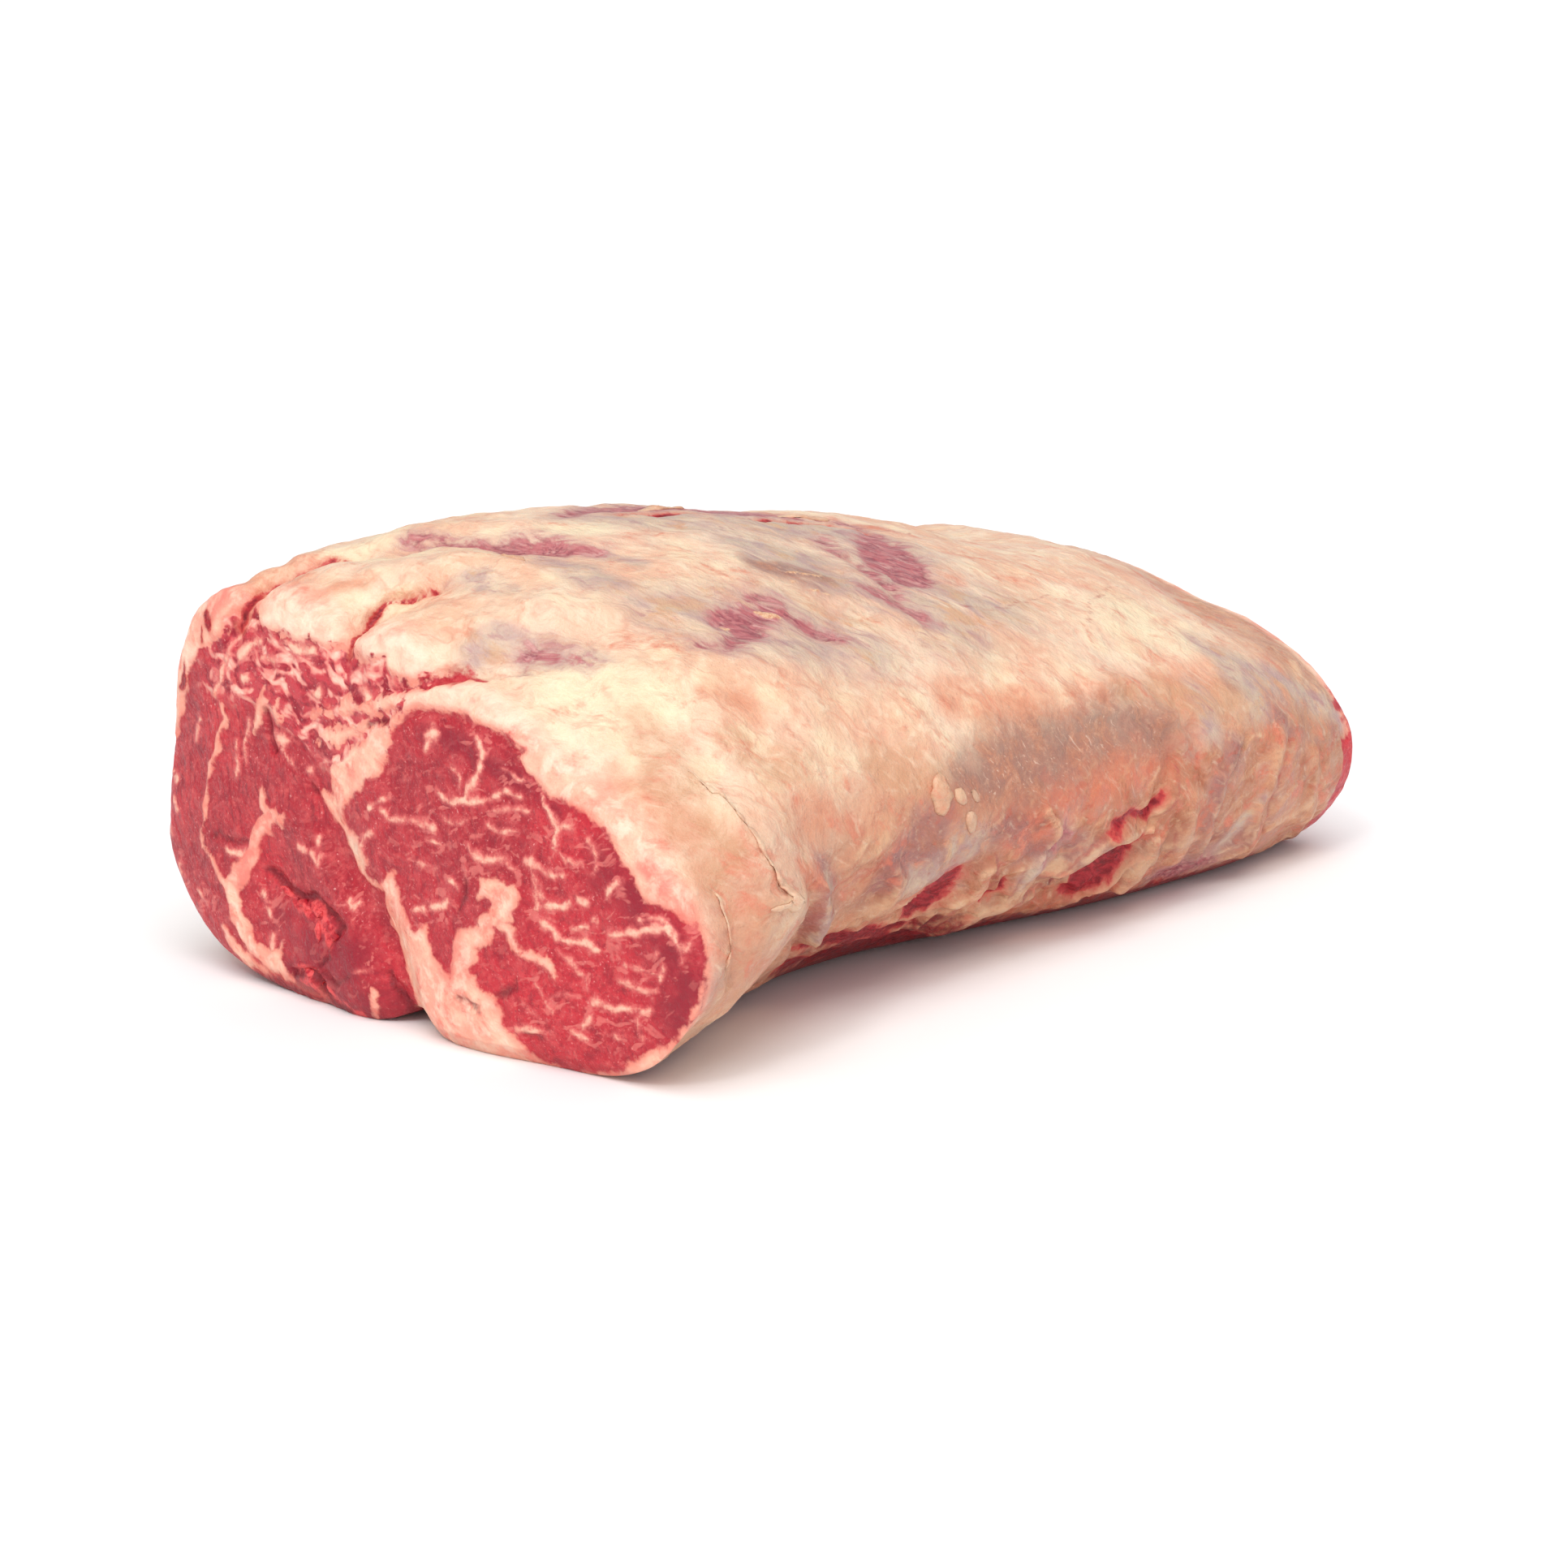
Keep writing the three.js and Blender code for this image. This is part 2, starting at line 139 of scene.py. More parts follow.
EYE = [
    (-3, 94.5), (-7, 97), (-16.5, 97), (-25, 96.5), (-34.5, 94.5), (-42.5, 92), (-47.5, 89.5),
    (-46.5, 87.5), (-49, 84.5), (-54, 81.5), (-57.5, 79), (-64, 77.5), (-70.5, 76), (-77.5, 72.5),
    (-82, 68.5), (-84, 65), (-88.5, 60.5), (-90.5, 57), (-95, 54.5), (-104, 53), (-109, 48.5),
    (-112, 45.5), (-112.5, 39), (-109, 28.5), (-104.5, 20.5), (-99.5, 15), (-91, 11), (-85.5, 7),
    (-78, 3), (-64.5, 0), (-53, 1), (-49.5, 4), (-45.5, 8.5), (-43, 11.5), (-42.5, 15.5),
    (-39.5, 19), (-34.5, 20.5), (-31.5, 25), (-34, 28), (-32.5, 32), (-37.5, 34), (-40.5, 36.5),
    (-39, 40), (-36, 39.5), (-30.5, 37.5), (-25.5, 35), (-23, 31.5), (-23, 26.5), (-22.5, 21),
    (-19, 24), (-14.5, 26), (-13, 30), (-11, 34.5), (-5.5, 32), (0, 38), (2.5, 45.5), (4, 47),
    (13, 42), (18, 44), (15.5, 48), (17, 51.5), (19.5, 54.5), (25.5, 56.5), (27, 62), (23.5, 65.5),
    (14, 72.5), (9, 74.5), (8, 78), (4, 82.5), (2, 90),
]
FACE_FAT = [
    # the long seam down the rib cap, its upper end and the thick seam beside it
    [(84, 88, 0.6), (78.5, 82, 0.8), (83, 76, 1), (87.5, 66, 1.3), (90.5, 50.5, 0.9),
     (93, 45.5, 0.9), (92, 39, 0.9), (86.5, 36, 1), (84.5, 32.5, 1.4), (80, 30, 2)],
    [(74, 107.5, 0.8), (79, 98.5, 0.9), (80, 93, 1.4), (83.5, 88.5, 1.6)],
    [(63, 62.5, 1), (61.5, 58, 2.2), (58.5, 54.5, 3.6), (65, 48, 2.8), (67.5, 42.5, 2.6),
     (72.5, 35.5, 2.8), (77.5, 30.5, 3.4), (76.5, 25, 4.2), (74.5, 18.5, 4.2), (70, 12, 4.4),
     (60, 8, 5.2), (57, 4.5, 4.2)],
    [(55, 15, 1), (59.5, 10.5, 2)],
    [(51, 55.5, 0.6), (57, 53.5, 2)],
    [(79.5, 41, 0.6), (72, 41.5, 1.6)],
    [(84, 16.5, 1.5), (79, 10, 3), (70.5, 4, 4), (58, 2, 3)],
    # the arch, the band over the eye and the strip above the wedge
    [(67, 80, 1), (63, 85, 1.6), (60, 89.5, 2.4), (56, 88, 2), (54.5, 85, 1.2)],
    [(39, 87.5, 1), (32.5, 89.5, 1.4), (23.5, 93, 1.8), (13, 94.5, 2.2), (4.5, 97, 2.4),
     (-3.5, 99, 2.8), (-13.5, 101, 2.2), (-24.5, 102, 3)],
    [(35.5, 83.5, 2), (27.5, 84, 2.2), (20.5, 86.5, 1.6), (14.5, 89, 1.5)],
    # short seams and flecks of the rib cap
    [(55.5, 80, 1.3), (51.5, 79.5, 1.8), (49.5, 79.5, 1.2)],
    [(54.5, 78.5, 0.5), (50, 73.5, 0.5), (47, 71, 0.4)],
    [(41.5, 71.5, 1.3), (40.5, 71.5, 1.3)],
    [(69, 82, 0.6), (72, 75.5, 0.6), (70.5, 71, 0.5)],
    [(75.5, 75, 0.8), (74, 68.5, 0.9), (74, 64.5, 0.6)],
    [(92.5, 79, 0.8), (96.5, 72, 0.9)],
    [(109.5, 60, 1.2), (107.5, 57.5, 1)],
    [(108, 51.5, 1.2), (107, 48.5, 1.2)],
    [(112, 42.5, 1), (111, 40.5, 1)],
    [(106.5, 32.5, 0.6), (106, 28, 0.9)],
    [(96, 25, 0.8), (92, 22, 0.8)],
    [(72, 101.5, 1.5), (67.5, 104.5, 1.6), (62.5, 107, 1.3)],
    [(53, 108, 1.2), (45.5, 107, 1.5), (38.5, 106, 1.1)],
    [(61, 102, 1.2), (56.5, 102, 1.8)],
    [(70, 95.5, 1.8), (67.5, 95.5, 1.6)],
    [(38, 94.5, 1.5), (36, 96.5, 1.5)],
    [(15.5, 99, 1.8), (13, 97.5, 1.6)],
    [(4, 102.5, 0.8), (5.5, 106, 1.6)],
    [(46.5, 47, 1), (43.5, 46.5, 0.9)],
    [(40.5, 46.5, 0.7), (37.5, 44, 0.8), (36.5, 46.5, 0.5)],
    [(38, 50.5, 0.8), (38, 52.5, 0.8)],
    [(64, 30.5, 1.1), (61.5, 28.5, 0.5), (64.5, 29, 0.9)],
    [(63.5, 26.5, 0.8), (61.5, 24.5, 0.8)],
    [(59.5, 18.5, 1.1), (60.5, 14.5, 0.9)],
    [(24.5, 34.5, 0.6), (22, 33, 0.6), (20.5, 34.5, 0.5)],
    [(13.5, 9.5, 1), (13, 5.5, 2), (15, 1.5, 1.6)],
    [(20.5, 15, 0.4), (14, 16.5, 0.4)],
    # marbling of the eye
    [(-30, 91, 1), (-32, 88.5, 1.6), (-33, 86, 1.1)],
    [(-32.5, 83.5, 1.3), (-30.5, 80.5, 1.5), (-28.5, 77.5, 1.5), (-28, 74, 1.4)],
    [(-14.5, 74.5, 0.8), (-17.5, 73, 1.2), (-22.5, 72.5, 1.3), (-29, 74, 1.2), (-35.5, 75, 0.8),
     (-42.5, 77, 1.1), (-47.5, 77, 0.8)],
    [(-35, 72, 0.4), (-41.5, 72, 0.5), (-50.5, 74.5, 0.5)],
    [(-36, 67.5, 0.5), (-41.5, 65.5, 0.5), (-46.5, 67, 0.4)],
    [(-55, 78.5, 0.6), (-58, 74, 0.9), (-62, 70.5, 1.8), (-61.5, 65.5, 0.8)],
    [(-62, 70.5, 1), (-66.5, 72.5, 0.5)],
    [(-28.5, 60, 0.5), (-31, 58, 0.9), (-36.5, 58, 1), (-43.5, 58, 0.7), (-46.5, 56.5, 0.5)],
    [(-49.5, 59, 1.2), (-54, 58.5, 1.2), (-59, 57.5, 0.8), (-65, 57, 0.5)],
    [(-52, 58.5, 0.6), (-55, 53.5, 0.6), (-56.5, 50, 1)],
    [(14, 65, 1.3), (10, 66.5, 0.8), (4.5, 69, 0.5)],
    [(8, 64.5, 0.5), (4, 63, 0.9), (-2, 63.5, 0.9), (-4, 64, 0.3), (-8.5, 64, 0.8),
     (-14.5, 63.5, 0.8)],
    [(-10.5, 60.5, 0.4), (-17, 59.5, 0.4)],
    [(-12.5, 90, 1.5), (-14, 90, 1.4)],
    [(-12.5, 92, 0.5), (-12, 88, 0.6), (-11, 86, 0.7)],
    [(19.5, 51.5, 1.2), (15.5, 55, 1), (12.5, 58, 0.7)],
    [(-27, 54.5, 0.5), (-27.5, 51.5, 0.5)],
    [(-32.5, 47, 1), (-35.5, 50, 2.6), (-39, 50.5, 3.6), (-43, 48.5, 4.2), (-42, 44, 3.6),
     (-39, 42, 3), (-35.5, 39.5, 3)],
    [(-13, 40.5, 1.2), (-17.5, 42, 1.4), (-21.5, 44, 0.8)],
    [(-5.5, 38, 1), (-9.5, 39.5, 1)],
    [(-42, 40, 2), (-45, 37, 2), (-49, 34.5, 1.8), (-55, 32.5, 1.3), (-59.5, 30.5, 1.2),
     (-61.5, 27.5, 1)],
    [(-57, 43.5, 0.6), (-61.5, 40.5, 0.9), (-66, 39.5, 1.1), (-72.5, 40, 1.8), (-76.5, 38.5, 1.3)],
    [(-81.5, 44, 0.8), (-87.5, 45.5, 1.3), (-94, 46.5, 1.5), (-99.5, 47.5, 1.7),
     (-102.5, 44.5, 1.2), (-104.5, 41.5, 0.8), (-104, 39.5, 0.4)],
    [(-104, 41, 0.4), (-108, 45.5, 0.5)],
    [(-22, 82, 0.3), (-25, 79, 0.5), (-24, 76, 0.3)],
    [(-40, 84, 0.3), (-45, 82, 0.5), (-49, 82, 0.3)],
    [(-19, 67, 0.3), (-24, 66, 0.5), (-28, 67, 0.4)],
    [(-60, 64, 0.4), (-66, 62, 0.7), (-71, 63, 0.4)],
    [(-72, 69, 0.3), (-76, 66, 0.6), (-77, 61, 0.4)],
    [(-20, 50, 0.4), (-24, 49, 0.6)],
    [(-6, 53, 0.4), (-10, 51, 0.6), (-15, 51, 0.3)],
    [(-92, 50, 0.4), (-98, 50, 0.7), (-102, 48, 0.4)],
    [(-62, 36, 0.4), (-68, 33, 0.7), (-72, 30, 0.5), (-73, 27, 0.3)],
    [(-84, 30, 0.4), (-90, 29, 0.6), (-97, 30, 0.4)],
    [(-96, 41, 0.3), (-98, 37, 0.6), (-97, 33, 0.3)],
    [(-60, 22, 0.4), (-64, 24, 0.6), (-69, 24, 0.3)],
    [(-75.5, 46.5, 1.2), (-76.5, 46, 1.1)],
    [(-68, 44, 0.6), (-72.5, 44.5, 0.7)],
    [(-81, 54, 0.9), (-82.5, 56.5, 1.1), (-84.5, 58.5, 0.7)],
    [(-69.5, 52, 0.8), (-73, 51.5, 1.2)],
    [(-55.5, 47.5, 1.2), (-61, 49, 1.3), (-66.5, 50.5, 0.8)],
    [(-55.5, 48, 0.9), (-54, 51.5, 0.6)],
    [(-74.5, 23.5, 1.4), (-78, 23, 1.9), (-82.5, 22.5, 1.5), (-87.5, 23, 1.1), (-92.5, 24, 0.8)],
    [(-73, 19, 0.8), (-71, 15, 1)],
    [(-66.5, 12, 0.8), (-70, 11.5, 0.8)],
    [(-77.5, 15, 0.4), (-83, 14, 0.6)],
    [(-47.5, 9.5, 1.2), (-53.5, 11, 1.2), (-58.5, 11, 0.9)],
    [(-86, 36, 0.3), (-90, 35, 0.4), (-94.5, 35, 0.4)],
    [(-89, 21, 0.4), (-90.5, 16, 0.5)],
    [(-55, 25, 0.5), (-61.5, 18.5, 0.4)],
    [(-50.5, 19, 0.4), (-56.5, 14.5, 0.4)],
]
# Cracks of the cut face: (stroke, depth). They sink the surface and are painted dark: painted
# shade.
FACE_CRACKS = [
    ([(60, 86, 0.6), (58, 79.5, 1.2), (56.5, 75, 0.6)], 1.6),
    ([(41.5, 66.5, 0.4), (39, 64, 0.8)], 1.2),
    ([(63, 37.5, 0.5), (57.5, 36, 1), (53.5, 33, 1.4), (47.5, 32.5, 1.2), (40, 33, 1.1),
      (32.5, 30, 1.0), (26, 27, 0.8)], 1.6),
    ([(26, 27, 0.7), (31, 21, 0.7), (32.5, 16, 0.6), (37.5, 12.5, 0.4)], 1.6),
    ([(86.5, 44.5, 0.6), (81.5, 45.5, 0.6)], 1.0),
    ([(79.5, 45, 0.5), (70.5, 45, 0.5)], 0.8),
    ([(51.5, 8, 0.6), (40.5, 10, 0.8), (38, 6.5, 0.8)], 2.0),
    ([(38.5, 5.5, 0.8), (33.5, 2, 1), (25, 1.5, 1)], 2.0),
    ([(-25, 16, 0.4), (-29.5, 16, 0.7), (-34, 14.5, 0.3)], 1.2),
    ([(-41, 19, 0.5), (-45, 21.5, 0.7), (-48, 23, 0.5), (-47.5, 25, 0.4)], 1.0),
    ([(-49.5, 9, 0.4), (-54.5, 9, 0.6)], 1.0),
    ([(-27, 51, 0.4), (-27, 47, 0.7), (-24.5, 41.5, 0.4)], 1.0),
    ([(13, 89, 0.8), (4.5, 92.5, 0.5)], 0.8),
    ([(9, 16, 0.4), (6, 10, 0.9), (4, 4, 0.6)], 1.8),
    ([(22, 12, 0.4), (30, 9, 0.7), (36, 11, 0.4)], 1.2),
]
# Where the muscle is torn open and shows its bright inside.
FACE_TORN = [
    [(56, 34, 1), (50, 30.5, 1.6), (43, 29.5, 2.4), (37, 28, 3), (32, 24, 2.8), (32, 19, 1.4)],
    [(48.5, 9.5, 2), (41.5, 8.5, 3), (37, 4.5, 3), (29, 2.5, 2.6), (22, 1, 1.8)],
]

# ---- The small cut face ------------------------------------------------------------------------
REAR_LEAN = [
    (-85, 16), (-88, 36), (-80, 52), (-60, 66), (-34, 74), (0, 80), (34, 83), (62, 78), (84, 66),
    (94, 46), (93, 26), (80, 6), (60, -2), (0, -2), (-56, -2),
]
REAR_FAT = [
    [(34, 84, 4), (31, 72, 2.4), (25, 62, 2.8), (22, 50, 1.5), (14, 38, 2.2), (11, 28, 1.6),
     (12, 16, 2.8), (9, -2, 5)],
    [(60, 70, 0.8), (65, 62, 1.1), (63, 52, 1.7), (64, 42, 1.0), (56, 32, 1.9), (50, 24, 1.2),
     (48, 12, 1.4)],
    [(84, 50, 0.6), (79, 43, 1.2), (80, 34, 0.9), (72, 26, 1.4), (70, 18, 0.8)],
    [(-8, 66, 0.8), (-16, 61, 1.3), (-24, 62, 1.7), (-33, 56, 1.2), (-41, 57, 1.0), (-50, 49, 0.9),
     (-54, 43, 0.5)],
    [(-19, 45, 0.6), (-25, 38, 1.3), (-33, 37, 2.0), (-40, 32, 1.2), (-48, 33, 1.0),
     (-58, 25, 0.6)],
    [(-33, 37, 1.0), (-35, 44, 0.9), (-41, 47, 0.5)],
    [(-70, 41, 0.6), (-66, 35, 1.3), (-60, 33, 0.6)],
    [(-4, 27, 0.6), (-12, 24, 1.2), (-17, 18, 1.5), (-26, 17, 0.9), (-32, 12, 0.6)],
    [(-72, 52, 0.4), (-64, 55, 0.9), (-55, 51, 1.2), (-47, 53, 0.5)],
    [(-38, 67, 0.4), (-30, 70, 0.8), (-21, 69, 0.5)],
    [(-54, 19, 0.4), (-47, 14, 1.0), (-42, 8, 0.7), (-41, 2, 0.5)],
    [(-16, 52, 0.4), (-9, 47, 1.0), (-3, 48, 0.7), (3, 41, 0.4)],
    [(-77, 23, 0.4), (-72, 16, 0.9), (-65, 13, 0.5)],
    [(-16, 7, 0.5), (-9, 9, 0.9), (-3, 6, 0.4)],
    [(26, 28, 0.4), (31, 35, 1.1), (38, 36, 0.8), (43, 43, 0.4)],
    [(28, 12, 0.5), (35, 17, 1.0), (37, 25, 0.6)],
    [(70, 57, 0.4), (75, 61, 0.9), (81, 58, 0.5)],
    [(59, 14, 0.4), (65, 9, 0.8), (72, 9, 0.4)],
    [(-4, 70, 0.4), (4, 67, 0.9), (9, 60, 0.6), (8, 54, 0.4)],
]

# ---- The cover ---------------------------------------------------------------------------------
# Strokes here are (x, y, z, half width) in mm, on the surface. Purple muscle shows through the
# cover in some places, bright red muscle in others.
MUSCLE_WINDOWS = [
    [(-137, 48, 130, 0.6), (-132, 44, 132, 1.2), (-131, 33, 134, 1.5), (-126, 25, 134, 3),
     (-122, 19, 133, 5.5), (-118, 13, 132, 6), (-113, 7, 132, 4), (-107, 3, 132, 2),
     (-104, -1, 131, 1)],
    [(-160, -27, 112, 0.6), (-158, -30, 112, 1), (-154, -36, 111, 1), (-153, -40, 111, 0.5)],
    [(-106, -50, 116, 3), (-97, -49, 117, 6), (-89, -49, 117, 5), (-82, -49, 116, 2)],
    [(-109, -60, 112, 2), (-100, -56, 114, 4), (-92, -54, 114, 3)],
    [(-84, -42, 120, 1.5), (-79, -45, 119, 1.8), (-75, -48, 117, 1.5)],
    [(-82, -50, 115, 1.5), (-76, -54, 112, 2.5), (-70, -58, 109, 2.5), (-65, -61, 107, 1.5)],
    [(-122, -57, 113, 0.6), (-118, -59, 112, 1.0), (-113, -61, 111, 0.6)],
    [(19, -3, 122, 3), (12, -12, 120, 8), (4, -22, 118, 11), (0, -33, 114, 9), (-8, -38, 114, 4)],
    [(-14, -26, 119, 2), (-17, -37, 116, 2.5), (-21, -45, 113, 2.5), (-23, -51, 111, 1.5)],
    [(-10, -8, 124, 2), (-14, -16, 122, 2)],
    [(-30, -43, 115, 1.5), (-27, -47, 113, 1.8), (-24, -51, 111, 1.2)],
    [(18, 17, 125, 1.8), (24, 13, 124, 2.5), (24, 5, 123, 2)],
    [(77, -75, 8, 3), (91, -76, 9, 5), (103, -78, 10, 3)],
    [(-84, 30, 137, 2), (-62, 37, 135, 7), (-40, 36, 133, 10), (-16, 30, 130, 9), (5, 21, 128, 3)],
    [(-28, -41, 115, 2), (-26, -50, 112, 3), (-20, -58, 107, 2)],
    [(-3, -91, 33, 1.5), (0, -93, 37, 2.5), (3, -95, 40, 2)],
    [(-52, -92, 38, 1.5), (-46, -92, 38, 1.5)],
    # on the rib-cap side
    [(-120, 112, 78, 1.5), (-96, 113, 74, 4), (-70, 112, 72, 2)],
    [(20, 104, 84, 1), (44, 104, 80, 3.5), (66, 103, 76, 1.5)],
    [(96, 100, 52, 1.5), (110, 100, 46, 3), (124, 98, 44, 1.5)],
]
RED_GAPS = [
    [(-49, -78, 22, 4), (-47, -81, 27, 7), (-45, -84, 31, 6), (-41, -87, 35, 3)],
    [(32, -77, 15, 5), (36, -81, 20, 8), (41, -85, 25, 8), (47, -87, 28, 5)],
    [(26, -94, 36, 0.8), (31, -95, 38, 1.6), (37, -95, 40, 1.4), (51, -91, 38, 2.2),
     (57, -92, 43, 1.2)],
    [(-14, -85, 28, 0.8), (-15, -82, 24, 1.3), (-18, -79, 20, 0.8)],
    [(2, -60, 2, 3), (37, -61, 1, 4), (81, -69, 1, 4.5), (110, -70, 1, 4.5), (140, -67, 1, 3)],
    [(-185, 40, 0, 2), (-181, 60, 1, 4), (-176, 80, 3, 3)],
    [(-100, -70, 12, 2), (-83, -62, 10, 5), (-59, -64, 12, 6), (-36, -60, 8, 6), (-8, -56, 3, 5)],
    [(-71, -58, 6, 4), (-35, -52, 2, 6), (-12, -55, 1, 4)],
    [(-98, -77, 18, 2.5), (-84, -76, 20, 4.5), (-68, -72, 18, 5), (-54, -69, 16, 4),
     (-42, -70, 16, 2.5)],
    [(-181, 26, 107, 0.5), (-178, 26, 110, 0.9), (-173, 28, 114, 1.0), (-169, 29, 117, 0.9),
     (-163, 27, 120, 0.5), (-158, 22, 122, 0.9), (-153, 16, 124, 0.4)],
    [(-181, 74, 110, 1.2), (-179, 74, 114, 1.8), (-177, 73, 117, 1.6), (-172, 73, 120, 0.8),
     (-168, 70, 123, 0.4), (-161, 65, 126, 0.6), (-155, 61, 128, 0.8), (-151, 55, 129, 0.4)],
    [(-182, 87, 112, 1.6), (-182, 85, 110, 1.8), (-183, 84, 108, 1)],
    [(-182, 89, 108, 0.5), (-183, 89, 103, 0.6)],
    [(-181, 99, 95, 1), (-181, 102, 87, 1.5)],
    [(-151, 5, 125, 0.5), (-154, -3, 125, 0.5)],
    [(-72, 24, 136, 0.5), (-62, 23, 136, 1.6), (-50, 21, 135, 2.0), (-40, 18, 133, 1.6),
     (-34, 16, 132, 0.5)],
    [(-24, 14, 131, 0.5), (-14, 13, 130, 1.8), (-2, 12, 128, 2.2), (8, 12, 126, 1.8),
     (15, 8, 124, 1.2), (21, 0, 123, 0.5)],
    # on the rib-cap side
    [(-150, 110, 70, 1), (-132, 113, 62, 2.5), (-116, 113, 58, 1)],
    [(-40, 108, 30, 1), (-20, 106, 28, 2.5), (4, 104, 26, 1)],
]
FILMS = [
    [(-62, 20, 136, 4), (-36, 14, 132, 6), (-11, 10, 128, 6), (6, 8, 126, 5)],
    [(-56, -12, 129, 5), (-42, -18, 125, 7), (-30, -24, 122, 5)],
    [(-61, -23, 127, 3), (-44, -25, 123, 6), (-39, -38, 118, 7), (-31, -43, 115, 7),
     (-31, -49, 112, 5)],
    [(-121, -37, 120, 4), (-105, -55, 113, 8), (-84, -61, 109, 9), (-58, -61, 107, 7)],
    [(-112, -40, 120, 6), (-100, -49, 115, 12), (-78, -56, 111, 12), (-62, -64, 106, 9)],
    [(-5, 9, 127, 4), (0, -1, 125, 9), (7, -8, 123, 12), (8, -21, 119, 12), (-5, -41, 113, 13),
     (-17, -58, 106, 10), (9, -50, 107, 8), (24, -51, 104, 5)],
    [(-86, 29, 137, 2), (-75, 16, 136, 4), (-58, 6, 133, 5), (-36, 2, 130, 5), (-11, 3, 126, 8)],
    [(-104, -3, 131, 1.5), (-103, -10, 130, 2.5), (-101, -15, 129, 1.5)],
    [(-162, -19, 114, 2), (-158, -28, 113, 3.5), (-154, -37, 111, 3), (-150, -44, 110, 2)],
    [(-170, -15, 110, 3), (-166, -16, 112, 4), (-162, -19, 114, 3)],
    [(-148, 12, 125, 2), (-148, -5, 126, 3)],
    [(89, -83, 71, 2), (87, -90, 60, 4)],
    [(113, -77, 74, 3), (119, -86, 63, 5)],
    [(154, -80, 60, 3), (174, -82, 49, 4)],
    [(-9, -86, 27, 2.5), (-5, -89, 31, 2.5)],
    [(-72, -93, 40, 3), (-64, -94, 40, 3)],
    [(105, -82, 16, 1.5), (109, -88, 24, 2), (116, -90, 30, 1)],
    [(-116, -101, 48, 2), (-102, -86, 29, 2)],
    [(-125, -1, 131, 3), (-124, -14, 129, 5), (-121, -24, 126, 4)],
    [(110, -67, 82, 3), (119, -75, 75, 5), (137, -79, 67, 5), (147, -82, 60, 3)],
    [(-60, -88, 38, 4), (-52, -95, 44, 7), (-44, -94, 43, 5)],
    # on the rib-cap side
    [(-130, 112, 80, 5), (-96, 113, 74, 11), (-60, 112, 72, 6)],
    [(10, 104, 86, 5), (44, 104, 80, 10), (80, 103, 74, 5)],
    [(80, 102, 56, 4), (110, 100, 46, 9), (136, 98, 42, 5)],
]
DRY_PATCHES = [
    [(-49, -96, 66, 5), (-34, -93, 66, 9), (-19, -92, 67, 11), (6, -90, 67, 9), (25, -89, 68, 8),
     (44, -88, 68, 7), (57, -90, 63, 6)],
    [(-66, -26, 125, 3), (-54, -32, 122, 5), (-44, -36, 119, 4)],
    [(-40, 108, 58, 4), (-10, 108, 52, 8), (22, 106, 50, 4)],
]
TAN_FLAKES = [
    [(-56, -33, 122, 0.9), (-42, -35, 120, 1.1)],
    [(-87, -48, 116, 1.2), (-83, -50, 115, 1.6), (-80, -52, 114, 0.9)],
    [(-34, -17, 124, 0.7), (-32, -18, 123, 0.8)],
    [(-105, -51, 115, 1), (-103, -51, 114, 1)],
    [(-60, -38, 121, 0.8), (-59, -38, 120, 0.8)],
    [(-56, -43, 118, 0.7), (-51, -45, 116, 0.8)],
]
CREAM_PARTS = [
    [(-162, -42, 105, 11), (-156, -56, 102, 13), (-146, -64, 100, 9)],
    [(76, -57, 93, 10), (93, -58, 90, 14), (100, -63, 85, 10)],
    [(-182, 23, 51, 3), (-182, 12, 62, 3)],
    [(-182, 58, 114, 4), (-182, 43, 113, 6), (-182, 34, 113, 4)],
    [(-182, 22, 109, 4), (-182, 8, 112, 6), (-180, -6, 109, 4)],
    [(-182, 96, 98, 4), (-183, 100, 90, 3)],
    [(-184, 8, 100, 3), (-184, -8, 103, 4), (-183, -24, 102, 4)],
    [(-179, -30, 103, 4), (-177, -44, 99, 5), (-176, -56, 93, 4)],
    [(-58, -97, 69, 4), (-58, -99, 61, 6), (-49, -100, 59, 5)],
    [(-152, 60, 128, 4), (-142, 58, 131, 6), (-132, 60, 133, 5)],
    [(-152, 44, 128, 5), (-142, 38, 130, 5)],
    [(-104, 18, 134, 6), (-88, 16, 136, 7), (-74, 12, 135, 5)],
    [(-158, -106, 22, 5), (-154, -102, 14, 6), (-150, -98, 8, 5)],
    [(-60, 90, 112, 12), (0, 90, 104, 18), (60, 88, 96, 10)],
]
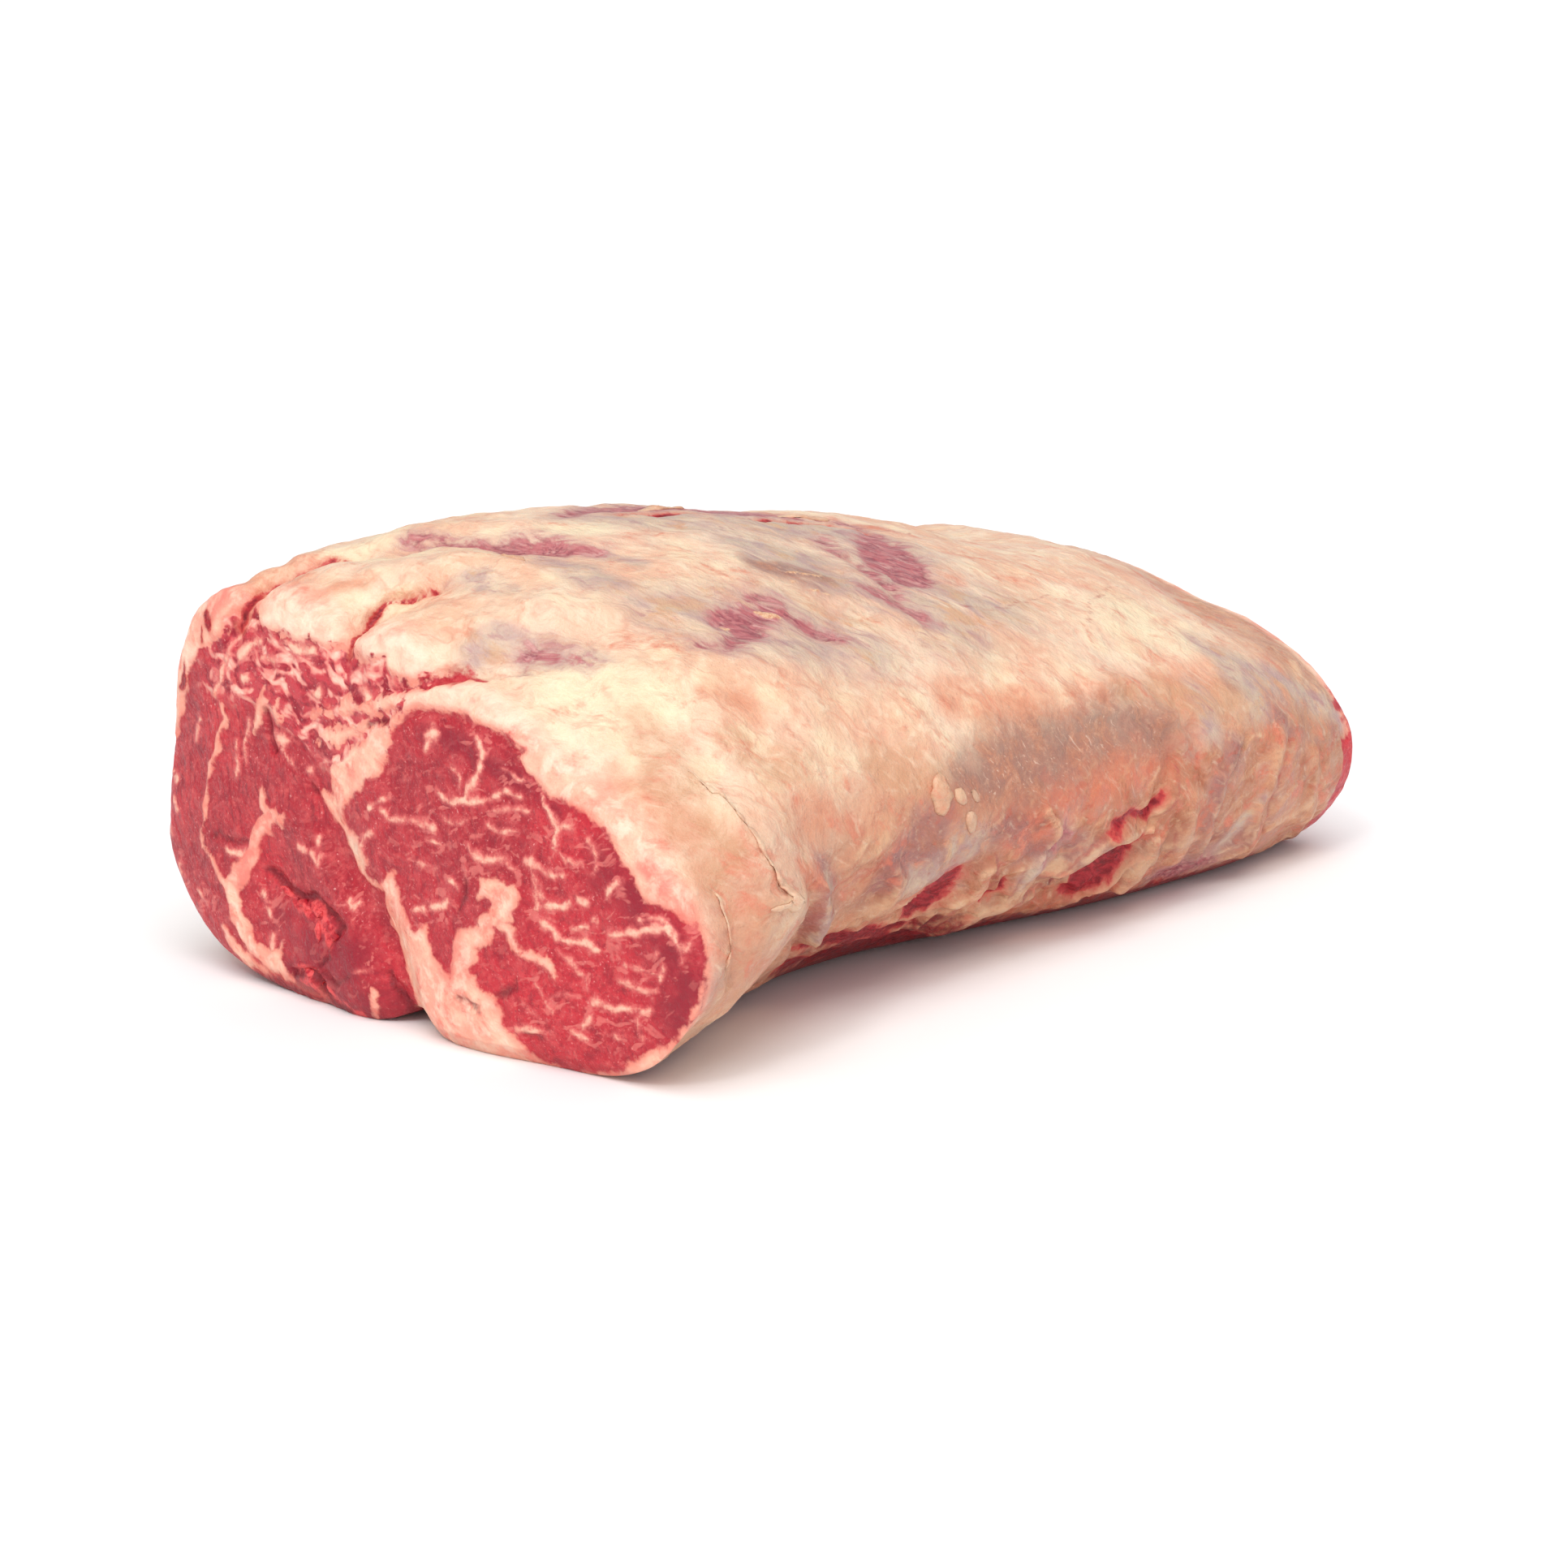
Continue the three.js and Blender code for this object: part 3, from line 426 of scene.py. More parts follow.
PINK_PARTS = [
    [(-189, -24, 26, 7), (-188, -15, 34, 5)],
    [(-184, 60, 55, 5), (-184, 68, 44, 5), (-184, 73, 32, 4)],
    [(-182, 108, 74, 4), (-181, 113, 62, 3)],
    [(-168, -104, 66, 6), (-160, -112, 50, 9), (-160, -106, 28, 8)],
    [(-130, -74, 102, 6), (-123, -79, 98, 5)],
    [(118, -23, 102, 3), (138, -24, 95, 5), (172, -12, 85, 4)],
    [(-37, -80, 86, 7), (13, -84, 77, 6), (52, -80, 78, 4)],
    [(-128, -98, 70, 9), (-116, -96, 66, 9), (-104, -94, 62, 6)],
    [(20, -96, 56, 6), (34, -95, 52, 8), (44, -93, 50, 5)],
    [(-181, -92, 64, 3), (-180, -100, 56, 4), (-178, -109, 44, 4)],
    [(-174, -76, 88, 4), (-170, -88, 80, 8), (-162, -98, 70, 9), (-158, -106, 60, 7)],
    [(72, -80, 76, 6), (86, -84, 71, 8), (104, -80, 74, 7), (124, -78, 70, 5)],
    [(-180, 86, 113, 4), (-172, 82, 119, 6), (-160, 70, 126, 5)],
    [(-60, -96, 62, 6), (-40, -96, 56, 8), (-24, -95, 58, 6)],
    [(-76, -92, 36, 5), (-88, -94, 42, 7), (-100, -95, 50, 5)],
    [(-176, 78, 120, 6), (-170, 66, 123, 6), (-172, 48, 124, 5), (-167, 36, 125, 4)],
    [(-105, -98, 48, 12), (-84, -98, 53, 14), (-31, -95, 43, 14), (-4, -96, 54, 14),
     (60, -90, 40, 14)],
    [(-160, 108, 90, 8), (-120, 112, 60, 12), (-60, 112, 40, 12), (40, 106, 40, 12)],
]
TAN_PARTS = [
    [(-156, -66, 98, 5), (-160, -80, 86, 9), (-161, -92, 76, 9), (-161, -102, 66, 7)],
    [(-138, -84, 90, 6), (-130, -90, 82, 7), (-118, -90, 80, 5)],
    [(-84, -90, 74, 7), (-64, -94, 70, 7)],
    [(-92, -86, 32, 7), (-78, -86, 30, 7), (-70, -90, 40, 6)],
    [(4, -80, 20, 4), (35, -82, 20, 6), (60, -85, 20, 7), (84, -84, 18, 6)],
    [(-50, -98, 56, 5), (-38, -97, 57, 6), (-26, -96, 58, 4)],
    [(44, -84, 78, 5), (56, -84, 74, 5), (78, -84, 70, 6), (96, -86, 66, 7), (112, -84, 66, 5)],
    [(140, -86, 54, 5), (158, -84, 48, 5)],
    [(-120, 108, 96, 10), (-40, 104, 90, 12), (60, 100, 84, 10)],
]
# Violet tints: partly the meat's own tone, partly painted shade in hollows and creases.
VIOLET_PARTS = [
    [(-90, -89, 34, 3), (-80, -97, 48, 4), (-66, -98, 53, 4), (-52, -98, 60, 4)],
    [(-14, -92, 38, 3), (6, -92, 35, 4), (25, -89, 31, 4), (50, -85, 26, 3)],
    [(4, -82, 22, 4), (35, -83, 21, 5), (60, -86, 20, 6), (84, -85, 19, 5)],
    [(-78, -97, 46, 5), (-62, -96, 43, 6), (-52, -92, 40, 4)],
    [(-186, -10, 90, 2), (-185, -28, 88, 2.5), (-184, -46, 81, 2), (-184, -60, 74, 1.5)],
    [(-185, 56, 6, 5), (-185, 34, 4, 7), (-183, 10, 5, 5)],
    [(-184, 56, 22, 4), (-184, 42, 17, 7), (-184, 22, 17, 7)],
    [(-184, -78, 64, 3), (-183, -89, 55, 4), (-182, -99, 46, 5), (-180, -105, 36, 6),
     (-180, -102, 24, 5)],
    [(122, -87, 58, 3), (141, -88, 52, 4), (164, -86, 46, 3)],
    [(-62, -30, 124, 4), (-50, -38, 119, 6), (-40, -36, 119, 5), (-34, -24, 122, 4)],
    [(128, -80, 68, 4), (146, -82, 60, 5), (166, -80, 55, 4)],
    [(108, -84, 68, 3), (126, -85, 63, 3)],
    [(-120, -102, 54, 2), (-113, -99, 45, 4), (-108, -91, 35, 4)],
    [(-82, -97, 48, 4), (-69, -98, 53, 6), (-55, -99, 56, 4)],
    [(24, -63, 4, 3), (40, -72, 9, 5), (70, -80, 14, 6), (110, -84, 18, 5)],
    [(-34, -96, 45, 4), (-21, -97, 49, 5), (-6, -92, 38, 4)],
    [(-72, -93, 40, 5), (-60, -88, 34, 5)],
    [(84, -92, 29, 3), (87, -95, 43, 4), (100, -91, 52, 3)],
    [(-60, 110, 66, 4), (-20, 108, 60, 7), (20, 106, 52, 5)],
    [(60, 102, 40, 4), (100, 100, 34, 6)],
]
ORANGE_PARTS = [
    [(-50, -98, 56, 5), (-38, -97, 57, 6), (-26, -96, 58, 4)],
    [(-92, -84, 28, 4), (-76, -82, 26, 4)],
    [(-8, -96, 53, 3), (5, -96, 53, 5), (17, -96, 48, 4)],
    [(-23, -96, 42, 4), (-9, -97, 47, 5)],
    [(61, -70, 4, 4), (67, -78, 10, 5), (76, -84, 18, 4)],
    [(-83, -82, 26, 4), (-70, -87, 32, 6), (-56, -84, 29, 4)],
    [(10, -66, 6, 5), (33, -72, 8, 5), (53, -76, 10, 4)],
    [(-2, -95, 58, 4), (32, -94, 56, 7), (57, -92, 56, 5)],
    [(-130, -112, 58, 3), (-124, -108, 50, 4)],
    [(-14, 32, 132, 3), (10, 26, 128, 3), (26, 20, 125, 3)],
    [(24, 8, 122, 3), (36, 7, 120, 4), (48, 1, 117, 3)],
    [(6, -40, 112, 2), (14, -38, 111, 4), (20, -34, 111, 3)],
    [(-90, 112, 50, 5), (-50, 110, 42, 8), (0, 106, 36, 6)],
    [(60, 104, 60, 5), (100, 102, 52, 6)],
]
# Thin dark lines in the cover: vessels, and painted shade along grooves and creases by the rolls.
THIN_LINES = [
    [(-15, -10, 124, 0.5), (-16, -21, 121, 0.9), (-18, -32, 118, 0.7), (-21, -45, 113, 0.9),
     (-22, -56, 108, 0.6), (-24, -65, 101, 0.4)],
    [(-12, -14, 123, 0.4), (-7, -22, 119, 0.8), (1, -29, 116, 0.5)],
    [(-2, -1, 125, 0.4), (-12, -18, 122, 0.7), (-20, -31, 119, 0.5)],
    [(29, 2, 121, 0.4), (40, 6, 119, 0.6), (51, 8, 117, 0.3)],
    [(134, -34, 93, 0.3), (146, -30, 88, 0.6), (158, -27, 84, 0.4)],
    [(3, -53, 106, 0.3), (21, -53, 103, 0.5), (48, -47, 102, 0.4), (61, -44, 101, 0.2)],
    [(59, -61, 94, 0.2), (66, -56, 96, 0.4), (76, -50, 98, 0.4), (106, -37, 99, 0.2)],
    [(-18, -86, 29, 0.6), (-19, -83, 25, 1.1), (-22, -79, 21, 1.2), (-27, -76, 19, 1),
     (-35, -68, 14, 0.7)],
    [(-30, -94, 40, 0.6), (-24, -91, 34, 1), (-21, -86, 29, 0.8)],
    [(-8, -74, 15, 0.5), (2, -78, 19, 0.9), (10, -79, 20, 0.6), (22, -74, 15, 0.4)],
    [(9, -88, 24, 0.4), (14, -92, 30, 0.8), (24, -95, 35, 0.6)],
    [(28, -90, 29, 0.4), (40, -88, 29, 0.7), (50, -84, 27, 0.5)],
    [(62, -90, 28, 0.5), (62, -86, 20, 0.9), (59, -80, 12, 0.6)],
    [(-10, -90, 32, 0.4), (-10, -85, 26, 0.8), (-9, -80, 21, 0.5)],
    [(68, -92, 32, 0.4), (69, -88, 24, 0.8), (71, -82, 14, 0.5)],
    [(-62, -94, 40, 0.3), (-66, -90, 33, 0.7), (-66, -84, 26, 0.4)],
    [(-126, -106, 52, 0.5), (-118, -101, 46, 1.1), (-112, -92, 36, 1.3), (-105, -82, 25, 1.1),
     (-97, -72, 15, 0.6)],
    [(-114, -101, 54, 0.3), (-108, -96, 44, 0.7), (-101, -85, 30, 0.7), (-96, -78, 20, 0.4)],
    [(-92, -96, 44, 0.3), (-80, -97, 46, 0.6), (-72, -95, 40, 0.5), (-70, -88, 32, 0.3)],
    [(99, -82, 14, 0.5), (91, -92, 29, 0.8), (94, -95, 43, 0.6), (108, -90, 54, 0.4)],
    [(129, -80, 12, 0.5), (123, -89, 28, 0.8), (128, -91, 40, 0.6), (134, -89, 50, 0.4)],
    [(62, -92, 60, 0.4), (66, -93, 50, 0.7), (62, -94, 41, 0.6), (58, -93, 36, 0.4)],
    [(-100, 113, 60, 0.4), (-60, 112, 52, 0.8), (-20, 108, 46, 0.5)],
    [(10, 106, 70, 0.4), (50, 104, 62, 0.8), (90, 101, 56, 0.5)],
]
# Lumps of fat, the flap at the swollen end and shreds of muscle that stand on the surface.
FAT_LUMPS = [
    [(-58, -97, 71, 2.2), (-60, -98, 67, 3.8), (-61, -98, 62, 4.2), (-60, -99, 58, 2.4)],
    [(-54, -99, 65, 1.5), (-52, -100, 62, 2.4), (-50, -100, 60, 1.6)],
    [(-50, -100, 57, 1.8), (-47, -100, 53, 3.0), (-45, -99, 50, 1.6)],
    [(-46, -98, 63, 1.1), (-44, -98, 61, 1.8), (-42, -98, 59, 1.1)],
    [(-133, 12, 132, 1.2), (-131, 8, 131, 2.2), (-130, 5, 131, 1.4)],
    [(-52, 34, 135, 1.4), (-44, 32, 135, 2.4), (-34, 31, 133, 1.4)],
    [(4, 24, 128, 1.2), (14, 21, 127, 2.2), (24, 19, 125, 1.4)],
    [(-16, 112, 37, 1.0), (-8, 111, 39, 2.0), (0, 110, 40, 1.2)],
    [(-122, 115, 62, 1.0), (-114, 116, 65, 2.2), (-107, 115, 67, 1.2)],
]
TORN_SKIN = [
    [(-155, -84, 85, 0.4), (-153, -92, 80, 0.8), (-151, -100, 74, 1.0), (-150, -107, 67, 1.2),
     (-147, -111, 59, 1.6), (-143, -114, 51, 2.4), (-146, -114, 49, 2.8), (-153, -113, 50, 1.6)],
    [(-166, -106, 58, 0.5), (-167, -108, 52, 1.0), (-166, -111, 46, 1.2), (-167, -112, 39, 1.0),
     (-167, -109, 33, 0.5)],
]
SHREDS = [
    [(-182, 57, 33, 0.6), (-182, 53, 31.5, 1.2), (-182, 49, 30, 0.8)],
    [(-182, 50, 29.5, 0.8), (-182, 46, 28.5, 1.6), (-182, 42, 28.5, 1.0)],
    [(-182, 43, 30, 0.8), (-182, 39, 28.5, 1.6), (-182, 35.5, 26.5, 1.2)],
    [(-182, 38, 26, 0.7), (-182, 37, 23, 1.4), (-182, 37, 19.5, 0.7)],
    [(-182, 35, 27.5, 0.7), (-182, 32, 25, 1.3), (-182, 31.5, 21.5, 0.8)],
    [(-182, 47, 9.5, 0.7), (-182, 42, 8.5, 1.5), (-182, 38, 6.5, 0.8)],
]
# Relief on the cover: (stroke, height). It rises by height out to the half width, then fades.
COVER_RELIEF = [
    # rolls of fat, lobes and grooves low on the side
    ([(-30, -93, 35, 1.8), (-32, -91, 33, 3.2), (-29, -85, 29, 3.4), (-28, -82, 25, 3.2),
      (-32, -80, 23, 2.6), (-37, -80, 24, 1.5)], 2.0),
    ([(-5, -91, 33, 2.5), (-5, -87, 29, 4.5), (-4, -84, 25, 4.5), (-1, -78, 19, 3)], 1.6),
    ([(-12, -85, 27, 1.5), (-8, -80, 21, 3), (-6, -75, 16, 2)], 1.2),
    ([(10, -86, 25, 1.5), (15, -89, 28, 3.6), (20, -90, 30, 4), (23, -92, 32, 3.6),
      (27, -93, 34, 2.5)], 2.0),
    ([(30, -94, 35, 1.8), (38, -92, 33, 3), (50, -87, 32, 3), (54, -89, 32, 1.8)], 2.2),
    ([(58, -89, 27, 2.5), (57, -86, 22, 4), (55, -83, 17, 4.5), (55, -79, 11, 3.5)], 1.8),
    ([(47, -83, 17, 1.5), (44, -80, 13, 2.2), (40, -78, 12, 1.5)], 1.0),
    ([(-24, -63, 9, 2), (-17, -69, 12, 3.5), (-14, -75, 16, 3.5), (-4, -76, 17, 3.5),
      (8, -76, 17, 2.5)], 1.2),
    ([(-9, -97, 50, 2), (-5, -96, 45, 3), (-3, -95, 41, 2.4), (-4, -93, 37, 1.4)], 1.2),
    ([(-80, -87, 30, 2.5), (-76, -91, 36, 3.5), (-77, -94, 41, 3), (-82, -97, 46, 2)], 1.5),
    ([(77, -84, 16, 3), (73, -89, 25, 4.5), (71, -92, 34, 3)], 1.4),
    ([(-10, -93, 36, 1.5), (-2, -94, 37, 2.2), (6, -92, 34, 1.5)], -1.2),
    ([(2, -80, 20, 1.2), (4, -86, 26, 1.8), (8, -92, 33, 1.5)], -1.4),
    ([(64, -92, 36, 1.5), (65, -88, 26, 2), (66, -82, 15, 1.5)], -1.4),
    # long low ridges over the top
    ([(-140, 10, 130, 3), (-134, -3, 129, 4), (-127, -16, 128, 4), (-120, -26, 125, 3)], 1.1),
    ([(-162, -12, 119, 3), (-153, -20, 121, 4), (-142, -26, 122, 4), (-132, -35, 120, 3)], 1.3),
    ([(-163, -18, 114, 2), (-155, -29, 114, 3), (-150, -43, 111, 3), (-145, -53, 109, 2)], 1.0),
    ([(-134, -63, 109, 4), (-118, -68, 107, 5), (-93, -69, 106, 5), (-65, -68, 103, 4)], 1.0),
    ([(-16, -8, 124, 1.5), (-18, -32, 118, 2), (-22, -56, 108, 2), (-24, -65, 101, 1.5)], -0.8),
    # folds and creases towards the small end
    ([(35, -83, 79, 2.5), (49, -80, 79, 3), (57, -84, 74, 3), (66, -88, 64, 3),
      (69, -90, 56, 2.5)], 2.6),
    ([(53, -86, 24, 1.6), (53, -89, 33, 2), (53, -93, 45, 2), (66, -91, 54, 1.6)], -1.2),
    ([(93, -80, 12, 1.8), (84, -92, 29, 2.4), (87, -95, 43, 2.4), (102, -91, 53, 1.8)], 1.3),
    ([(99, -82, 14, 1.2), (91, -92, 29, 1.4), (94, -95, 43, 1.4), (108, -90, 54, 1.0)], -1.2),
    ([(122, -79, 8, 1.8), (116, -89, 26, 2.4), (121, -92, 40, 2.4), (128, -90, 52, 1.8)], 1.0),
    ([(129, -80, 12, 1.2), (123, -89, 28, 1.4), (128, -91, 40, 1.4), (134, -89, 50, 1.0)], -1.0),
    ([(165, -70, 6, 1.6), (152, -85, 24, 2.0), (150, -88, 40, 1.6)], 0.8),
    ([(171, -72, 10, 1.0), (158, -86, 26, 1.2), (156, -88, 40, 1.0)], -0.8),
    ([(46, -90, 64, 1.6), (73, -86, 65, 2.0), (94, -87, 65, 1.6)], 0.9),
    ([(24, -87, 74, 1.6), (52, -86, 71, 2.0), (66, -88, 64, 1.6)], 1.6),
    ([(76, -86, 70, 2), (78, -92, 58, 2), (76, -94, 44, 2)], -1.0),
    # the torn edge of the skin over the swollen end, and the waist
    ([(-154, -84, 86, 1), (-153, -99, 74, 1.3), (-149, -111, 59, 1.3),
      (-142, -114, 51, 1.3)], 1.4),
    ([(-142, -114, 51, 1.5), (-149, -113, 52, 1.2), (-154, -113, 53, 1)], 1.4),
    ([(-167, -105, 59, 1.2), (-163, -108, 55, 1.5), (-166, -111, 46, 1.5),
      (-164, -109, 31, 1.5)], -1.6),
    ([(-130, -108, 52, 1.4), (-120, -101, 43, 1.8), (-108, -86, 29, 2.2),
      (-100, -74, 17, 2)], -2.6),
    ([(-120, -102, 48, 2.2), (-110, -93, 38, 3), (-101, -82, 26, 2.4)], 1.8),
    # the lobed fat pads over the cut face
    ([(-180, 56, 117, 5), (-176, 43, 118, 7), (-176, 33, 115, 5)], 0.7),
    ([(-178, 14, 113, 5), (-172, 1, 115, 8), (-166, -13, 113, 6)], 0.9),
    ([(-162, 33, 126, 4), (-150, 21, 128, 6), (-139, 5, 129, 4)], 1.2),
    ([(-141, 53, 131, 4), (-122, 43, 135, 5), (-107, 30, 136, 4)], 1.4),
    ([(-155, -8, 123, 4), (-146, -22, 122, 6), (-133, -29, 121, 4)], 1.0),
    ([(-138, 47, 131, 2), (-126, 27, 134, 2.5), (-112, 8, 132, 2)], -1.0),
    ([(-182, 26, 106, 2), (-173, 28, 114, 2.4), (-163, 27, 120, 2.2), (-153, 16, 124, 1.6)], -1.3),
    ([(-182, 74, 109, 2.4), (-177, 73, 117, 2.8), (-168, 70, 123, 2), (-151, 55, 129, 1.6)], -1.6),
    ([(-184, -2, 101, 1.6), (-179, -7, 104, 2.2), (-175, -14, 106, 1.6)], -1.2),
    ([(-169, -39, 104, 4), (-159, -41, 107, 4)], 1.2),
    ([(-154, -4, 125, 3), (-152, -16, 123, 3)], 1.0),
    ([(-176, -12, 108, 1.2), (-170, -22, 108, 1.2), (-163, -33, 106, 1)], -1.2),
]

# What the cords show, in place of the numbers that the skin has there.
FAT_ALL_OVER = {
    "lean": -20, "vein": -20, "cut": 0, "window": NOWHERE, "red": NOWHERE, "line": NOWHERE,
    "crack_shade": 0, "film": 0, "dry": 0, "torn": NOWHERE, "pink": 0, "orange": 0, "violet": 0,
    "tan": 0.3, "wet": 0,
}
# Name: (strokes, how flat, tilt, what they show).
CORDS = {
    "fat_lumps": (
        FAT_LUMPS, 0.34, 0.0, {**FAT_ALL_OVER, "low": 0.45, "fold": 0.35, "cream": 0.2}
    ),
    "torn_skin": (TORN_SKIN, 0.25, 0.25, {**FAT_ALL_OVER, "low": 0.25, "fold": 0.3}),
    "muscle_shreds": (
        SHREDS, 0.55, 0.0, {"lean": 5, "vein": -20, "torn": 5, "crack_shade": 0, "marble": 0}
    ),
}


def linear(shade):
    """A colour's 0-255 values as the linear values that Blender takes."""
    parts = [c / 255 for c in shade]
    return [((c + 0.055) / 1.055) ** 2.4 if c > 0.04 else c / 12.92 for c in parts] + [1]


def fade(value, low, high):
    """0 below low, 1 above high, and smooth between."""
    t = np.clip((value - low) / (high - low), 0, 1)
    return t * t * (3 - 2 * t)


# ---- Distances to outlines and strokes ---------------------------------------------------------
def outline_distance(points, outline):
    """Distance of 2-D points to a closed outline, positive inside."""
    corners = np.array(outline, float)
    nearest = np.full(len(points), FAR)
    inside = np.zeros(len(points), bool)
    for a, b in zip(corners, np.roll(corners, -1, 0)):
        edge, offset = b - a, points - a
        t = np.clip(offset @ edge / (edge @ edge), 0, 1)
        nearest = np.minimum(nearest, np.linalg.norm(offset - t[:, None] * edge, axis=1))
        crosses = (a[1] > points[:, 1]) != (b[1] > points[:, 1])
        level = np.where(edge[1] == 0, 1e-9, edge[1])
        inside ^= crosses & (points[:, 0] < a[0] + edge[0] * (points[:, 1] - a[1]) / level)
    return np.where(inside, nearest, -nearest)


def stroke_distance(points, stroke, normals=None, swell=1.0):
    """Distance of points to the edge of a tapered stroke, negative within it. With normals, it is
    measured along the surface, and points beyond the slab round the stroke are far off."""
    line = np.array(stroke, float)
    nearest = np.full(len(points), FAR)
    for a, b in zip(line, line[1:]):
        edge, offset = b[:-1] - a[:-1], points - a[:-1]
        t = np.clip(offset @ edge / max(edge @ edge, 1e-9), 0, 1)
        offset = offset - t[:, None] * edge
        if normals is None:
            away = np.linalg.norm(offset, axis=1)
        else:
            height = np.einsum("ij,ij->i", offset, normals)
            away = np.linalg.norm(offset - height[:, None] * normals, axis=1)
            away += np.where(abs(height) > SLAB, FAR, 0)
        nearest = np.minimum(nearest, away - swell * (a[-1] + t * (b[-1] - a[-1])))
    return nearest


def reach_into(points, strokes, normals=None, swell=1.0):
    """How far points are within the nearest of some strokes, negative outside."""
    return -np.min([stroke_distance(points, s, normals, swell) for s in strokes], axis=0)


def widest(stroke):
    return max(p[-1] for p in stroke)


def soft_strokes(points, strokes, normals, spread=0.6):
    """1 along the strokes, fading to 0 outside them."""
    best = np.zeros(len(points))
    for stroke in strokes:
        within = -stroke_distance(points, stroke, normals)
        best = np.maximum(best, fade(within, -spread * widest(stroke), 0.6 * widest(stroke)))
    return best


def split_seams(strokes):
    """The thick and the thin ones of some seams."""
    thick = [s for s in strokes if widest(s) >= THICK_SEAM]
    return thick, [s for s in strokes if widest(s) < THICK_SEAM]


# ---- Noise -------------------------------------------------------------------------------------
class Waves:
    """Smooth noise between about -1 and 1, from a table of seeded slopes on a lattice."""

    def __init__(self, seed):
        draw = np.random.default_rng(seed)
        self.order = np.concatenate([draw.permutation(256)] * 3)
        slopes = draw.normal(size=(256, 3))
        self.slopes = slopes / np.linalg.norm(slopes, axis=1)[:, None]

    def at(self, points, length):
        p = points / length
        cell = np.floor(p).astype(int)
        part = p - cell
        ease = part**3 * (part * (part * 6 - 15) + 10)
        total = np.zeros(len(points))
        for corner in np.ndindex(2, 2, 2):
            c = (cell + corner) & 255
            slope = self.slopes[self.order[self.order[self.order[c[:, 0]] + c[:, 1]] + c[:, 2]]]
            weight = np.prod(np.where(np.array(corner) == 1, ease, 1 - ease), axis=1)
            total += weight * np.einsum("ij,ij->i", slope, part - corner)
        return total * WAVE_GAIN

    def lumps(self, points, layers):
        """The sum of layers of noise, each (height, length)."""
        return sum(height * self.at(points, length) for height, length in layers)

    def shift(self, points, length, amount):
        """The points pushed about by up to about that amount."""
        pushes = [self.at(points + offset, length) for offset in (0.0, 170.3, 341.7)]
        return points + amount * np.stack(pushes, axis=1)

    def wrinkles(self, points, bend, way, times, spacing, patch):
        """1 along winding crests that are bent, drawn out along a way and come in patches."""
        bent = drawn_out(self.shift(points, *bend), way, times)
        crests = np.clip(1 - 2.2 * abs(self.at(bent, spacing)), 0, 1) ** 2
        offset, length, low, high = patch
        return crests * fade(self.at(points + offset, length), low, high)


def drawn_out(points, way, times):
    """The points squeezed along a direction, so that a pattern on them is drawn out along it."""
    way = np.array(way) / np.linalg.norm(way)
    return points - np.outer(points @ way, way) * (1 - 1 / times)


# ---- The skin ----------------------------------------------------------------------------------
def refine(bm, wanted):
    """Splits the wanted faces into four and eases the new points."""
    bm.faces.index_update()
    chosen = {f.index for f in bm.faces if wanted(f)}
    edges = [e for e in bm.edges if any(f.index in chosen for f in e.link_faces)]
    old = set(bm.verts)
    bmesh.ops.subdivide_edges(bm, edges=edges, cuts=1, use_grid_fill=True)
    fresh = {v for v in bm.verts if v not in old}
    inner = [
        v
        for v in bm.verts
        if v.co.z > 0.3 * MM
        and any(e.other_vert(v) in fresh for e in v.link_edges)
        and all(len(f.verts) == 4 for f in v.link_faces)
    ]
    for _ in range(2):
        bmesh.ops.smooth_vert(
            bm, verts=inner, factor=0.5, use_axis_x=True, use_axis_y=True, use_axis_z=True
        )


def is_visible(face):
    """Not of the flat underside."""
    return any(v.co.z >= 0.4 * MM for v in face.verts)


def is_detailed(face):
    """Of the large cut face, the pads over its rim, or the torn low part of the side."""
    centre = face.calc_center_median()
    x, y, z = centre / MM
    on_face = centre.x < (FRONT - 0.5) * MM
    on_pads = x < FRONT + 22 and z > 88
    on_torn_side = -60 < x < 62 and y < -50 and 8 < z < 40
    return on_face or on_pads or on_torn_side


def new_object(name, bm):
    mesh = bpy.data.meshes.new(name)
    bm.to_mesh(mesh)
    bm.free()
    thing = bpy.data.objects.new(name, mesh)
    bpy.context.scene.collection.objects.link(thing)
    return thing


def make_skin():
    """The CAD solid's surface as quads, rounded once and split where detail shows."""
    bm = bmesh.new()
    bm.from_mesh(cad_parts["rib_roast"].data)
    bmesh.ops.remove_doubles(bm, verts=bm.verts, dist=1e-6)
    bmesh.ops.join_triangles(
        bm,
        faces=bm.faces,
        angle_face_threshold=math.radians(60),
        angle_shape_threshold=math.radians(100),
    )
    skin = new_object("beef_rib_roast", bm)
    rounding = skin.modifiers.new("rounding", "SUBSURF")
    rounding.levels = rounding.render_levels = 1
    bpy.context.view_layer.objects.active = skin
    bpy.ops.object.modifier_apply(modifier=rounding.name)

    bm = bmesh.new()
    bm.from_mesh(skin.data)
    refine(bm, is_visible)
    refine(bm, is_detailed)
    bmesh.ops.triangulate(bm, faces=[f for f in bm.faces if len(f.verts) > 4])
    bmesh.ops.recalc_face_normals(bm, faces=bm.faces)
    bm.to_mesh(skin.data)
    bm.free()
    return skin


def read_points(mesh):
    """The mesh's points in mm, and its normals there."""
    points = np.empty(len(mesh.vertices) * 3)
    normals = np.empty(len(mesh.vertices) * 3)
    mesh.vertices.foreach_get("co", points)
    mesh.vertices.foreach_get("normal", normals)
    return points.reshape(-1, 3) / MM, normals.reshape(-1, 3)


def write_points(mesh, points):
    points[:, 2] = np.maximum(points[:, 2], 0)
    mesh.vertices.foreach_set("co", (points * MM).ravel())
    mesh.update()
